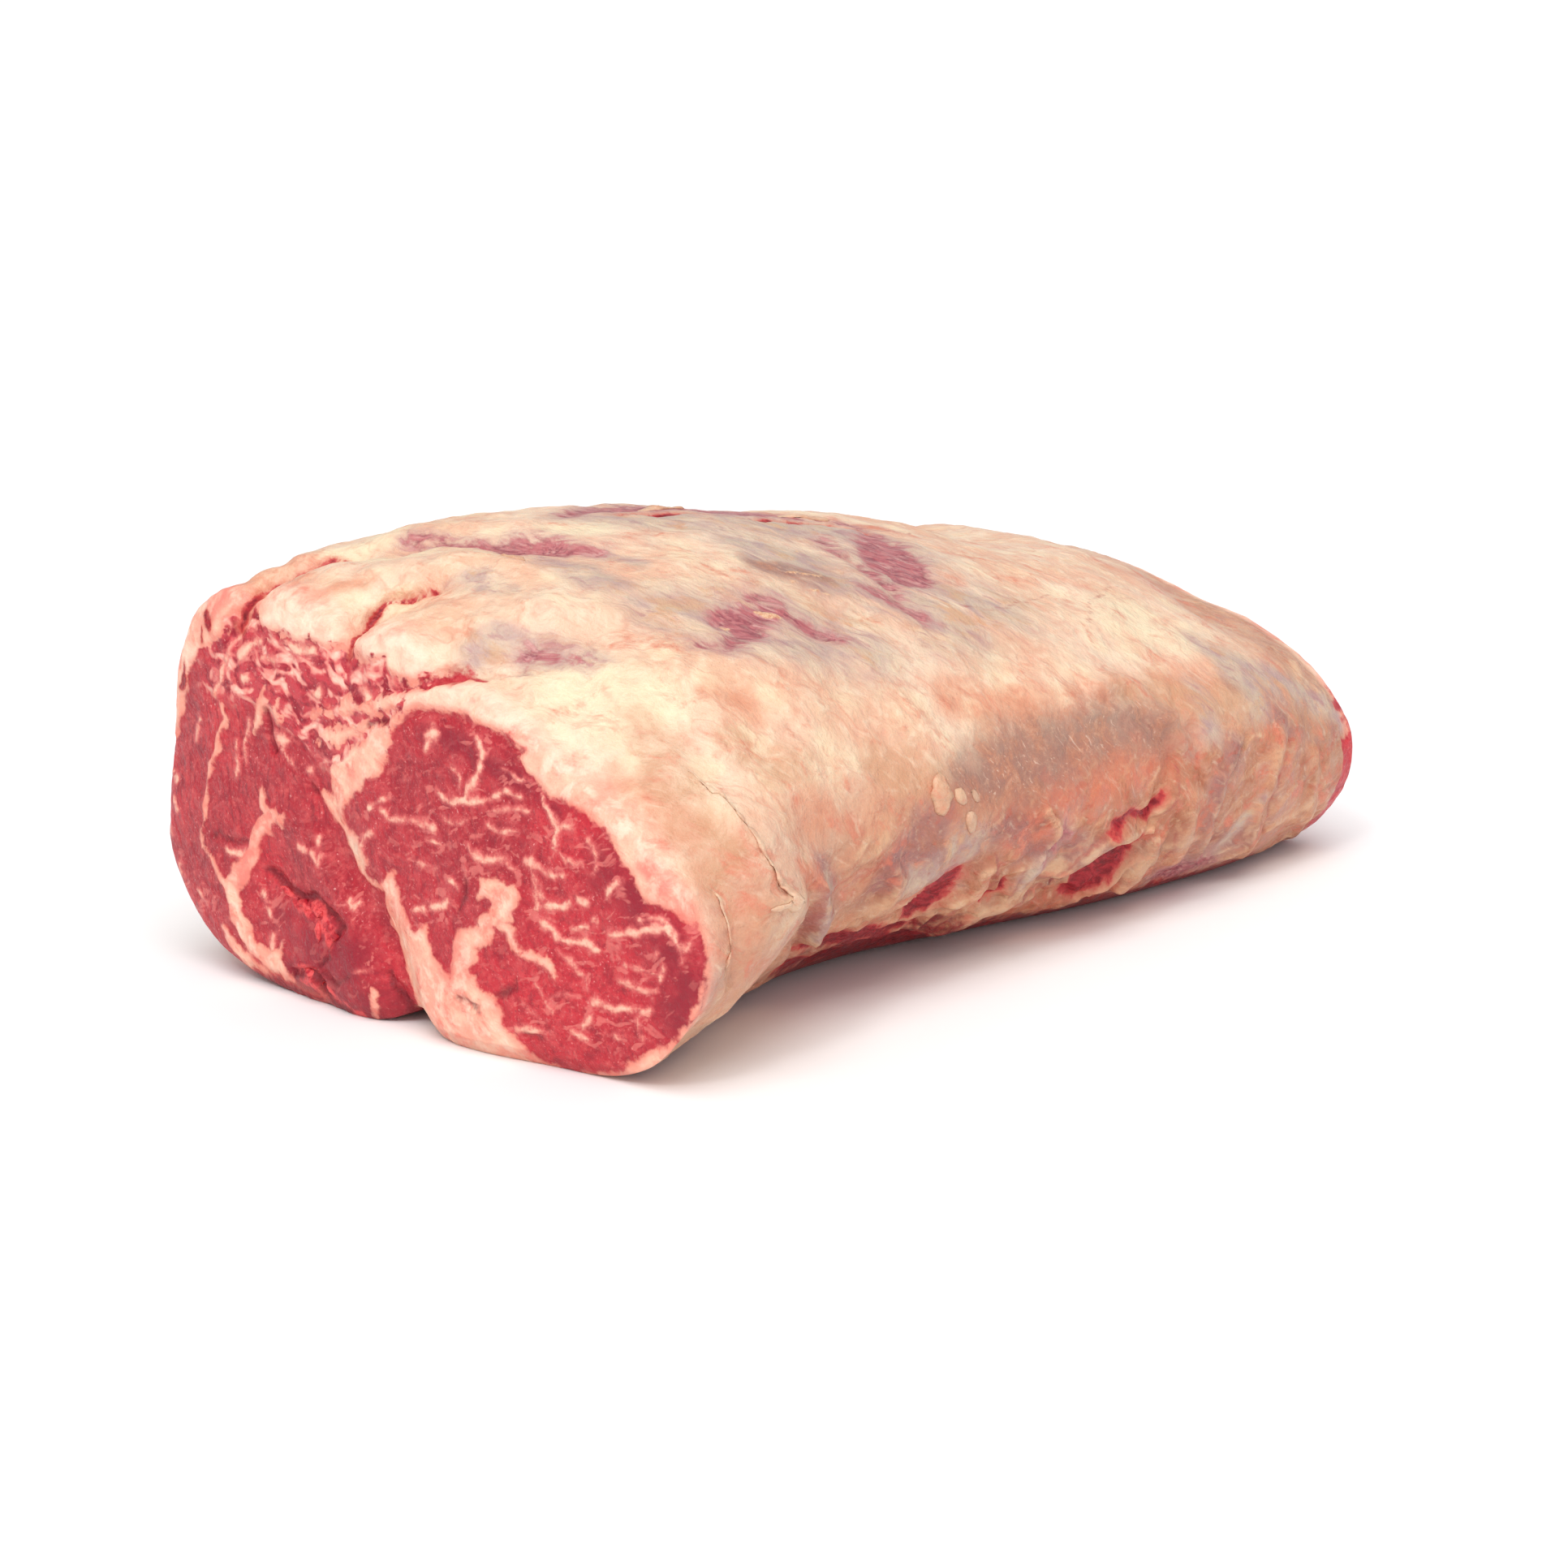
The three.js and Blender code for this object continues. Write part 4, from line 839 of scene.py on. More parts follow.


# ---- What the surface is made of ---------------------------------------------------------------
# The numbers on the points. Of a cut face: lean is the depth in muscle, negative in fat; vein the
# depth in a thin seam; cut is 1 on it; marble and fibre are kinds of muscle; bloom is how fresh it
# looks; the number for cracks is painted shade along them. Of the cover: low is 1 low on its
# sides, fold is 1 on crests, and line marks thin dark lines, vessels and painted shade along
# grooves and creases. Violet marks violet tints, partly the meat's own tone and partly painted
# shade. The rest are named by what they are.
FIELD_NAMES = (
    "lean", "vein", "cut", "marble", "fibre", "bloom", "crack_shade", "torn", "low", "fold", "window",
    "red", "flake", "line", "film", "dry", "cream", "pink", "tan", "violet", "orange", "wet",
)


def face_fields(points, across, swell):
    """The numbers of the two cut faces, where across is (y, z) with a wandering edge."""
    x, y, z = points.T
    at_front = x < 0
    thick, thin = split_seams(FACE_FAT)
    rear_thick, rear_thin = split_seams(REAR_FAT)

    eye = outline_distance(0.5 * (across + points[:, 1:]), EYE)
    front = np.maximum(outline_distance(across, RIB_CAP), eye)
    front = np.minimum(front, -reach_into(across, thick, swell=swell))
    front = np.minimum(front, (FRONT + 12) - 9.5 * fade(-y, 84, 102) - x)
    rear = outline_distance(across, REAR_LEAN)
    rear = np.minimum(rear, -reach_into(across, rear_thick, swell=swell))
    rear = np.minimum(rear, x - (BACK - 8))
    front_vein = reach_into(across, thin, swell=0.8 * swell)
    rear_vein = reach_into(across, rear_thin, swell=swell)

    # the cap is densely marbled from a line that drops towards the middle
    cap_low = 87 - 14 * np.clip((60 - y) / 25, 0, 1)
    in_cap = at_front & (y > -8)
    marble = np.where(in_cap, fade(z, cap_low - 3, cap_low + 4) * fade(eye, 1, -1), 0)
    marble *= fade(-y, -98, -80)
    marble = np.maximum(marble, np.where(~at_front & (y > 24), fade(z, 44, 60), 0))
    beside_eye = np.where(at_front, 0.35 + 0.55 * fade(34 - z, 0, 16), 0.8)
    # painted shade: how much darker the muscle is painted along the cracks
    crack_shade = np.zeros(len(points))
    for stroke, depth in FACE_CRACKS:
        along = fade(-stroke_distance(across, stroke), -0.8, 0.4)
        crack_shade = np.maximum(crack_shade, along * min(1, 0.4 + 0.25 * depth) * (x < FRONT + 8))
    return {
        "lean": np.where(at_front, front, rear),
        "vein": np.where(at_front, front_vein, rear_vein),
        "cut": np.where(at_front, fade(-x, 170, 180.5), fade(x, 172, 180)),
        "marble": marble,
        "fibre": np.where(at_front, fade(y, 24, 38) * fade(z, 26, 46), 0) * (1 - marble),
        "bloom": np.where(eye > -2, fade(-y, 10, 70), beside_eye),
        "crack_shade": crack_shade,
        "torn": np.where(x < FRONT + 8, reach_into(across, FACE_TORN), NOWHERE),
    }


def fold_field(points, normals, moved, low):
    """Crests of the wrinkles, which run along the side low down and with the fibres above."""
    side = Waves(33)
    large = side.wrinkles(points, (30, 12), FOLD_WAY, 4.5, 17, (0, 34, -0.5, 0.4))
    small = side.wrinkles(points, (16, 7), FOLD_WAY, 3.5, 8, (90, 26, -0.1, 0.5))
    upper = side.wrinkles(points, (34, 12), FIBRE_WAY, 5, 19, (40, 40, -0.3, 0.5))
    fold = np.clip(low * (large + 0.7 * small) + (1 - low) * 0.6 * upper, 0, 1)
    for stroke, height in COVER_RELIEF:
        x, _, z, _ = stroke[0]
        if height > 0 and z < 60:
            crest = fade(-stroke_distance(moved, stroke, normals), -1.5, 1.5)
            fold = np.maximum(fold, crest * (1 if x < 60 else 0.65))
    return fold


def fields_of(points, normals):
    """What the surface is made of at each point, as named numbers."""
    x, _, z = points.T
    sway = Waves(21)
    moved = sway.shift(sway.shift(points, 8, 1.5), 3.2, 0.6)
    wide = sway.shift(sway.shift(points, 14, 3.0), 5, 1.4)
    face = face_fields(points, moved[:, 1:], 1 + 0.55 * sway.at(points + 55, 6))
    cover = 1 - face["cut"]
    red = np.full(len(points), NOWHERE)
    for stroke in RED_GAPS:
        sharp = np.clip(4 / widest(stroke), 1, 3)
        red = np.maximum(red, -sharp * stroke_distance(moved, stroke, normals))
    low = fade(82 - z, 0, 34) * (0.55 + 0.45 * fade(x, -125, -85))
    low = np.maximum(low, 0.8 * fade(x, 110, 165) * fade(110 - z, 0, 30))
    under = fade(-normals[:, 2], 0.62, 0.95) * fade(x, -112, -92) * fade(26 - z, 0, 8)
    return {
        **face,
        "low": low * cover,
        "fold": fold_field(points, normals, moved, low) * cover,
        "window": reach_into(wide, MUSCLE_WINDOWS, normals),
        "red": red,
        "flake": reach_into(moved, TAN_FLAKES, normals),
        "line": reach_into(moved, THIN_LINES, normals),
        "film": soft_strokes(wide, FILMS, normals, 1.5),
        "dry": soft_strokes(wide, DRY_PATCHES, normals, 1.0),
        "cream": soft_strokes(wide, CREAM_PARTS, normals),
        "pink": soft_strokes(wide, PINK_PARTS, normals),
        "tan": soft_strokes(wide, TAN_PARTS, normals),
        "violet": soft_strokes(wide, VIOLET_PARTS, normals, 1.2),
        "orange": soft_strokes(wide, ORANGE_PARTS, normals, 1.2),
        "wet": np.maximum(fade(-z, -6.5, -2.8), under),
    }


def relief_of(points, normals, fields):
    """How far each point moves out along its normal, in mm."""
    x, y, z = points.T
    cut, low = fields["cut"], fields["low"]
    on_face = x < FRONT + 10
    soft, rough = Waves(5), Waves(11)
    moved = soft.shift(points, 9, 1.6)
    rise = np.zeros(len(points))
    for stroke, height in COVER_RELIEF:
        within = -stroke_distance(moved, stroke, normals)
        rise += height * fade(within, -1.1 * widest(stroke), 0.7 * widest(stroke))
    rise -= 1.3 * fade(fields["red"], -3.5, 2.5) * (1 - cut)
    rise -= 0.9 * fade(fields["window"], -3.0, 2.0)
    rise += 0.6 * fade(fields["flake"], -0.8, 0.4)

    # the fat stands a little proud of the muscle, most at the pads over the upper rim
    pad = fade(z, 84, 100) * fade(-y, -30, 0) + fade(z, 100, 112)
    rise += cut * (0.6 + 1.0 * np.clip(pad, 0, 1)) * fade(-fields["lean"], -0.8, 1.4)
    for stroke, depth in FACE_CRACKS:
        within = -stroke_distance(moved[:, 1:], stroke)
        rise -= on_face * 0.8 * depth * fade(within, -1.1, 0.5)
    torn = fade(fields["torn"], -1.5, 0.8) * on_face
    rise += torn * (0.5 + rough.lumps(points, [(1.0, 5.0), (0.5, 2.4)]))
    rise += fields["marble"] * cut * rough.lumps(points, [(0.5, 5.5), (0.4, 2.6)])
    rise += 0.3 * cut * fade(fields["vein"], -0.8, 0.4)
    rise += 0.16 * cut * rough.at(points + 31, 3)
    rise += 0.25 * cut * soft.at(points, 11)

    # soft lumps of the fat, and folds that run with the skin
    cover = 1 - cut
    lumpy = 0.8 + 0.7 * fade(-x, 90, 140)
    rise += cover * lumpy * soft.lumps(points, [(0.9, 17), (0.5, 8), (0.22, 4.5)])
    folded = (1.0 + 1.3 * low) * (1 - 0.5 * fade(x, 70, 110))
    rise += cover * folded * (fields["fold"] - 0.3)
    rise += cover * 0.22 * soft.at(drawn_out(points, FIBRE_WAY, 3), 3.6)
    return rise * fade(z, *SKIN_ABOVE_FLOOR)


def give_fields(mesh, fields):
    for name in FIELD_NAMES:
        values = np.broadcast_to(fields[name], len(mesh.vertices)).astype(np.float32)
        mesh.attributes.new(name, "FLOAT", "POINT").data.foreach_set("value", values)
    mesh.polygons.foreach_set("use_smooth", [True] * len(mesh.polygons))
    mesh.update()


def build_roast():
    skin = make_skin()
    points, normals = read_points(skin.data)
    fields = fields_of(points, normals)
    write_points(skin.data, points + normals * relief_of(points, normals, fields)[:, None])
    give_fields(skin.data, fields)
    return skin


# ---- Cords on the skin -------------------------------------------------------------------------
def smooth_path(stroke):
    """Evenly spaced points and half widths along a stroke, with its corners rounded."""
    line = np.array(stroke, float)
    steps = np.linalg.norm(np.diff(line[:, :3], axis=0), axis=1)
    reach = np.concatenate([[0], np.cumsum(steps)])
    count = max(int(reach[-1] / CORD_STEP), 4) + 1
    at = np.linspace(0, reach[-1], count)
    line = np.stack([np.interp(at, reach, column) for column in line.T], axis=1)
    for _ in range(3):
        line[1:-1] = (line[:-2] + 2 * line[1:-1] + line[2:]) / 4
    return line


def add_cord(bm, stroke, surface, flat, tilt):
    """A closed, tapered cord along a stroke, flattened, tilted and half sunk in the surface."""
    line = smooth_path(stroke)
    wobble = Waves(17).at(line[:, :3], 3.5)
    last = None
    for i, (*place, half_width) in enumerate(line):
        near, normal = surface.find_nearest(Vector(place) * MM)[:2]
        way = Vector((line[min(i + 1, len(line) - 1)] - line[max(i - 1, 0)])[:3])
        way = (way - normal * way.dot(normal)).normalized()
        side = way.cross(normal)
        lean_side = side * math.cos(tilt) + normal * math.sin(tilt)
        lean_up = normal * math.cos(tilt) - side * math.sin(tilt)
        end = abs(2 * i / (len(line) - 1) - 1)
        size = half_width * MM * math.sqrt(max(1 - end**4, 0.04)) * (1 + 0.3 * wobble[i])
        centre = near + normal * size * 0.15 * flat
        turn = Matrix((lean_side * size, lean_up * size * flat, way)).transposed()
        ring = bmesh.ops.create_circle(
            bm,
            cap_ends=i in (0, len(line) - 1),
            segments=CORD_SIDES,
            radius=1,
            matrix=Matrix.Translation(centre) @ turn.to_4x4(),
        )["verts"]
        ring_edges = (e for v in ring for e in v.link_edges if e.other_vert(v) in ring)
        edges = list(dict.fromkeys(ring_edges))
        if last:
            bmesh.ops.bridge_loops(bm, edges=last + edges)
        last = edges


def make_cords(name, strokes, surface, flat, tilt, finish):
    """Cords on the skin, with the numbers in finish in place of what the skin has there."""
    bm = bmesh.new()
    for stroke in strokes:
        add_cord(bm, stroke, surface, flat, tilt)
    bmesh.ops.recalc_face_normals(bm, faces=bm.faces)
    cords = new_object(name, bm)
    points, normals = read_points(cords.data)
    uneven = 0.42 * Waves(9).at(points, 2.2) + 0.6 * Waves(10).at(points, 4.6)
    points = points + normals * uneven[:, None]
    write_points(cords.data, points)
    give_fields(cords.data, {**fields_of(points, normals), **finish})
    return cords


# ---- The meat's material -----------------------------------------------------------------------
class Shades:
    """Adds shader nodes to one material, from values or from the sockets of other nodes."""

    def __init__(self, name):
        self.material = bpy.data.materials.new(name)
        self.material.use_nodes = True
        self.tree = self.material.node_tree
        self.tree.nodes.clear()

    def add(self, kind, sockets, out=0, **settings):
        node = self.tree.nodes.new(kind)
        for key, value in settings.items():
            setattr(node, key, value)
        for key, value in sockets.items():
            if isinstance(value, bpy.types.NodeSocket):
                self.tree.links.new(value, node.inputs[key])
            else:
                node.inputs[key].default_value = value
        return node.outputs[out] if node.outputs else node

    def number(self, name):
        return self.add("ShaderNodeAttribute", {}, out=2, attribute_name=name)

    def sum(self, operation, a, b=0.0, c=0.0):
        return self.add("ShaderNodeMath", {0: a, 1: b, 2: c}, operation=operation)

    def both(self, a, b):
        return self.sum("MULTIPLY", a, b)

    def stirred(self, value, noise, amount):
        """The value with noise round its middle added, that many times."""
        return self.sum("MULTIPLY_ADD", self.sum("SUBTRACT", noise, 0.5), amount, value)

    def vector(self, operation, first, second, out=0):
        return self.add("ShaderNodeVectorMath", {0: first, 1: second}, out, operation=operation)

    def scaled(self, place, scale):
        return self.add("ShaderNodeVectorMath", {0: place, "Scale": scale}, operation="SCALE")

    def step(self, value, low, high, least=0.0, most=1.0):
        """From least to most, smoothly, as the value goes from low to high."""
        sockets = {"Value": value, "From Min": low, "From Max": high}
        sockets.update({"To Min": least, "To Max": most})
        return self.add("ShaderNodeMapRange", sockets, interpolation_type="SMOOTHSTEP")

    def noise(self, place, size, detail=2.0, roughness=0.5, distortion=0.0):
        """Noise of about that size in mm, where place is in mm."""
        sockets = {"Vector": place, "Scale": 1 / size, "Detail": detail, "Roughness": roughness}
        return self.add("ShaderNodeTexNoise", {**sockets, "Distortion": distortion})

    def spots(self, place, size, feature, out):
        sockets = {"Vector": place, "Scale": 1 / size}
        return self.add("ShaderNodeTexVoronoi", sockets, out, feature=feature)

    def warp(self, place, size, amount):
        sockets = {"Vector": place, "Scale": 1 / size, "Detail": 1.0}
        shift = self.add("ShaderNodeTexNoise", sockets, out=1)
        centred = self.vector("SUBTRACT", shift, (0.5, 0.5, 0.5))
        return self.vector("ADD", place, self.scaled(centred, amount))

    def drawn_out(self, place, way, times):
        """The place squeezed along a direction, so that a pattern on it is drawn out along it."""
        way = tuple(Vector(way).normalized())
        along = self.vector("DOT_PRODUCT", place, way, out=1)
        back = self.both(along, 1 - 1 / times)
        return self.vector("SUBTRACT", place, self.scaled(way, back))

    def mix(self, amount, first, second):
        """Two colours mixed, each one a socket or 0-255 values."""
        first, second = (linear(c) if isinstance(c, tuple) else c for c in (first, second))
        sockets = {0: amount, 6: first, 7: second}
        return self.add("ShaderNodeMix", sockets, out=2, data_type="RGBA")

    def tint(self, base, shade, value, low, high, least=0.0, most=1.0, within=None):
        """The base turned to a shade, by least to most as the value goes from low to high."""
        amount = self.step(value, low, high, least, most)
        if within is not None:
            amount = self.both(within, amount)
        return self.mix(amount, base, shade)

    def tints(self, base, palette, noises, rows, within=None):
        """The base with tints laid over it, each (shade, noise, low, high, most)."""
        for shade, noise, low, high, most in rows:
            base = self.tint(base, palette[shade], noises[noise], low, high, 0, most, within)
        return base


def cover_fat(m, f, n):
    """The skin of fat over the top and the sides: cream and peach, with films and stains."""
    lobes = m.spots(n["wide"], 15, "F1", "Distance")
    strand = m.noise(m.drawn_out(n["wide"], FOLD_WAY, 4.5), 3.2, 3, 0.55)
    n = {**n, "lobes": lobes, "strand": strand}
    fat = m.mix(m.step(n["broad"], 0.36, 0.64), COVER["peach"], COVER["pale"])
    fat = m.tints(fat, COVER, n, [
        ("milky", "clots", 0.48, 0.66, 0.55),
        ("rose", "clots", 0.46, 0.30, 0.5),
        ("lobe", "lobes", 0.55, 0.1, 0.55),
        ("lobe_edge", "lobes", 0.5, 0.85, 0.4),
    ])
    cream = m.both(f["cream"], m.step(n["medium"], 0.25, 0.6, 0.3, 1.0))
    fat = m.tint(fat, COVER["cream"], n["clots"], 0.3, 0.6, 0.55, 0.9, cream)
    fat = m.tint(fat, COVER["pink"], n["medium"], 0.3, 0.7, 0.3, 0.85, f["pink"])

    # low on the sides: peach brown, with violet painted shade in the hollows, red strands and
    # pale crests
    brown = m.mix(m.step(n["patches"], 0.38, 0.62), COVER["brown"], COVER["light_brown"])
    fat = m.tint(fat, brown, n["medium"], 0.3, 0.65, 1.0, 0.72, f["low"])
    # painted shade: the hollows between the folds are painted violet grey
    shade_in_hollows = m.both(m.step(f["fold"], 0.3, 0.0), m.step(n["patches"], 0.44, 0.6))
    violet = m.mix(m.step(n["fine"], 0.35, 0.65), COVER["violet"], COVER["pale_violet"])
    fat = m.mix(m.both(m.both(f["low"], shade_in_hollows), 0.5), fat, violet)
    # violet strokes: partly the fat's own tone, partly painted shade in hollows and creases
    fat = m.tint(fat, COVER["violet_tone_and_shade"], n["patches"], 0.32, 0.54, 0.2, 0.8, f["violet"])
    fat = m.tint(fat, COVER["orange"], n["medium"], 0.34, 0.60, 0.1, 0.8, f["orange"])
    fat = m.tints(fat, COVER, n, [
        ("capillary", "blotches", 0.52, 0.66, 0.5),
        ("red_strand", "strand", 0.54, 0.70, 0.5),
        ("pale_strand", "strand", 0.46, 0.30, 0.3),
    ], f["low"])
    crest = m.step(f["fold"], 0.4, 0.95)
    fat = m.tint(fat, COVER["crest"], n["medium"], 0.35, 0.6, 0.1, 0.6, crest)
    fat = m.tint(fat, COVER["tan"], n["clots"], 0.3, 0.7, 0.7, 0.35, f["tan"])

    # blotches of orange red, streaks along the fibres, and threads
    blotch = m.step(n["blotches"], 0.54, 0.72)
    fat = m.tint(fat, COVER["blotch"], n["fine"], 0.3, 0.6, 0.25, 0.8, blotch)
    calm = m.step(f["cream"], 0.0, 0.8, 1.0, 0.35)
    fat = m.tints(fat, COVER, n, [
        ("dark_streak", "streak", 0.52, 0.76, 0.24),
        ("light_streak", "streak", 0.46, 0.24, 0.26),
    ], calm)
    thread = m.noise(m.drawn_out(n["bent"], FIBRE_WAY, 2), 11, 3, 0.5)
    thread = m.step(m.sum("ABSOLUTE", m.sum("SUBTRACT", thread, 0.5)), 0.04, 0.0)
    fat = m.tint(fat, COVER["thread"], n["patches"], 0.46, 0.62, 0, 0.3, thread)

    # grey film with violet streaks, and stained tan at its edge
    film = m.mix(m.step(n["medium"], 0.36, 0.62), COVER["film"], COVER["thin_film"])
    fat = m.tint(fat, film, n["patches"], 0.32, 0.54, 0.25, 0.95, f["film"])
    fat = m.tints(fat, COVER, n, [
        ("film_streak", "streak", 0.52, 0.68, 0.6),
        ("film_stain", "blotches", 0.5, 0.66, 0.55),
    ], f["film"])

    # the dry patch: grey brown, mottled, with a few pale hairs; and over all, thin dark lines that
    # are vessels in places and painted shade along grooves and creases in others
    n["mottle"] = m.noise(n["wide"], 3.0, 4, 0.75)
    dried = m.mix(m.step(n["medium"], 0.40, 0.60), COVER["dried"], COVER["dried_light"])
    dried = m.tints(dried, COVER, n, [
        ("dried_dark", "mottle", 0.52, 0.40, 0.45),
        ("dried_pale", "mottle", 0.52, 0.68, 0.4),
    ])
    patch = m.step(m.stirred(f["dry"], n["medium"], 1.4), -0.05, 1.15, 0, 0.88)
    fat = m.mix(patch, fat, dried)
    fat = m.tint(fat, COVER["hair"], n["hair"], 0.62, 0.72, 0, 0.6, patch)
    # thin dark lines: vessels, and painted shade along grooves and creases
    vessel_and_crease_shade = m.sum("MULTIPLY_ADD", n["fine"], 1.5, f["line"])
    return m.tint(fat, COVER["vessel_and_crease_shade"], vessel_and_crease_shade, 0.1, 1.3, 0, 0.6)


def cut_fat(m, f, n):
    """The clean peach fat of the cut faces."""
    fat = m.mix(m.step(n["medium"], 0.34, 0.66), CUT_FAT["peach"], CUT_FAT["salmon"])
    fat = m.tint(fat, CUT_FAT["pale"], n["clots"], 0.46, 0.64, 0, 0.75)
    blotch = m.step(n["blotches"], 0.48, 0.66)
    fat = m.tint(fat, CUT_FAT["flushed"], n["fine"], 0.3, 0.6, 0.25, 0.8, blotch)
    fat = m.tint(fat, CUT_FAT["cream"], n["clots"], 0.3, 0.6, 0.35, 0.85, f["cream"])
    fat = m.tint(fat, CUT_FAT["pink"], n["clots"], 0.62, 0.36, 0.35, 0.95, f["pink"])
    inner = m.stirred(f["lean"], n["clots"], 4.0)
    return m.tint(fat, CUT_FAT["stained"], inner, -2.6, 0.0, 0, 0.58)


def dense_marbling(m, n):
    """Worms and clumps of fat between dark gaps, with pale specks that are painted highlights."""
    curled = m.drawn_out(m.warp(n["place"], 12, 9), (0.0, 0.9, 0.3), 1.9)
    swirl = m.noise(curled, 3.6, 1.5, 0.45, 0.3)
    gaps = m.noise(m.vector("ADD", curled, (71.0, 33.0, 19.0)), 4.5, 3, 0.6, 0.3)
    cap = m.mix(m.step(gaps, 0.38, 0.60), MUSCLE["cap_gap"], MUSCLE["cap"])
    cap = m.tint(cap, MUSCLE["cap_fine"], n["fine"], 0.5, 0.72, 0, 0.6)
    sparse = m.step(n["patches"], 0.36, 0.62, 0.03, -0.03)
    worm = m.stirred(m.sum("SUBTRACT", swirl, sparse), n["fine"], 0.09)
    return m.tints(cap, MUSCLE, {**n, "worm": worm}, [
        ("worm_edge", "worm", 0.48, 0.56, 0.85),
        ("worm", "worm", 0.525, 0.61, 1.0),
        ("worm_core", "worm", 0.60, 0.70, 1.0),
        # painted highlight: pale specks standing in for wet glints
        ("painted_cap_glint", "grain", 0.62, 0.76, 0.5),
    ])


def lean_muscle(m, f, n):
    """Red muscle with its fibres, its marbling and its torn places, and where its seams are."""
    threads = m.noise(m.drawn_out(n["bent"], (0.0, 0.22, 1.0), 7), 1.7, 2, 0.55)
    bundles = m.spots(n["bent"], 2.0, "SMOOTH_F1", "Color")
    n = {**n, "bundles": bundles, "threads": threads}
    bloom = m.sum("ADD", f["bloom"], m.step(n["broad"], 0.34, 0.66, -0.5, 0.5))
    lean = m.mix(m.step(bloom, 0.0, 1.0), MUSCLE["deep"], MUSCLE["fresh"])
    lean = m.tints(lean, MUSCLE, n, [
        ("clot", "clots", 0.50, 0.66, 0.42),
        ("dark_clot", "clots", 0.47, 0.30, 0.55),
        ("fine", "fine", 0.50, 0.72, 0.45),
        ("dark_fine", "fine", 0.44, 0.28, 0.5),
        ("bundle", "bundles", 0.5, 0.95, 0.22),
        ("dark_bundle", "bundles", 0.5, 0.05, 0.3),
        ("grain", "grain", 0.56, 0.72, 0.4),
        ("dark_grain", "grain", 0.44, 0.28, 0.5),
        # painted highlight: pale specks standing in for wet glints
        ("painted_glint", "grain", 0.69, 0.77, 0.55),
    ])
    halo = m.step(f["lean"], 2.4, 0.0)
    lean = m.tint(lean, MUSCLE["halo"], n["medium"], 0.42, 0.6, 0, 0.7, halo)
    # violet strokes: partly the muscle's own tone, partly painted shade low on the left lobe by
    # the crease
    lean = m.tint(lean, MUSCLE["violet_tone_and_shade"], n["medium"], 0.36, 0.56, 0.55, 0.95, f["violet"])

    # near the left edge the fibres run up and down, and in the eye they slant
    lean = m.tints(lean, MUSCLE, n, [
        ("thread", "threads", 0.55, 0.72, 0.25),
        ("dark_thread", "threads", 0.46, 0.30, 0.7),
    ], f["fibre"])
    slant = m.noise(m.drawn_out(n["bent"], (0.0, -1.0, 0.5), 6), 1.6, 2, 0.55)
    slanted = m.both(m.step(bloom, 0.7, 0.1), m.step(slant, 0.54, 0.72, 0, 0.6))
    lean = m.mix(m.both(slanted, 0.4), lean, MUSCLE["slant"])
    lean = m.mix(m.both(f["marble"], 0.97), lean, dense_marbling(m, n))

    # short dashes of marbling everywhere, and the seams drawn one by one
    near = m.step(f["vein"], -9.0, -1.0, 0.35, 1.0)
    near = m.both(near, m.step(f["fibre"], 0.8, 0.0, 0.25, 1.0))
    dashes = m.noise(m.drawn_out(m.warp(n["place"], 10, 8), (0.0, 1.0, -0.3), 2.4), 2.6, 2, 0.5)
    dashes = m.sum("ADD", dashes, m.step(n["patches"], 0.4, 0.62, -0.03, 0.05))
    dashes = m.both(m.step(dashes, 0.58, 0.67), near)
    lean = m.mix(m.both(dashes, 0.6), lean, MUSCLE["dash"])
    ragged = m.stirred(m.stirred(f["vein"], n["fine"], 3.0), n["clots"], 2.5)
    lean = m.tint(lean, MUSCLE["seam_edge"], ragged, -1.5, 0.3, 0, 0.75)
    seams = m.both(m.step(ragged, -0.5, 0.6), m.step(n["medium"], 0.32, 0.52, 0.5, 1.0))
    seam_fat = m.mix(m.step(ragged, 0.0, 1.4), MUSCLE["seam"], MUSCLE["seam_core"])
    lean = m.mix(seams, lean, seam_fat)

    # torn muscle is brighter and wetter
    torn = m.step(m.stirred(f["torn"], n["fine"], 2.5), -0.8, 0.8)
    bright = m.mix(m.step(n["fine"], 0.36, 0.60), MUSCLE["torn_dark"], MUSCLE["torn"])
    return m.mix(m.both(torn, 0.85), lean, bright), seams


def muscle_windows(m, skin, f, n):
    """Muscle that shows through the cover, under a film that thins out towards it."""
    ragged = m.stirred(f["window"], n["streak"], 12)
    ragged = m.stirred(m.stirred(ragged, n["clots"], 7), n["blotches"], 9)
    purple = m.mix(m.step(n["hair"], 0.38, 0.64), WINDOW["purple"], WINDOW["light_purple"])
    purple = m.tint(purple, WINDOW["clot"], n["clots"], 0.45, 0.65, 0, 0.6)
    skin = m.tint(skin, WINDOW["rim"], ragged, -8.0, 1.0, 0, 0.7)
    skin = m.tint(skin, purple, ragged, -2.5, 2.0, 0, 0.9)
    inside = m.step(ragged, -2.0, 0.5)
    return m.tint(skin, WINDOW["veil"], n["streak"], 0.52, 0.70, 0, 0.75, inside)


def tan_flakes(m, skin, f, n):
    flake = m.mix(m.step(n["grain"], 0.4, 0.6), COVER["flake"], COVER["pale_flake"])
    return m.tint(skin, flake, m.stirred(f["flake"], n["fine"], 3.0), -0.5, 0.4, 0, 0.85)


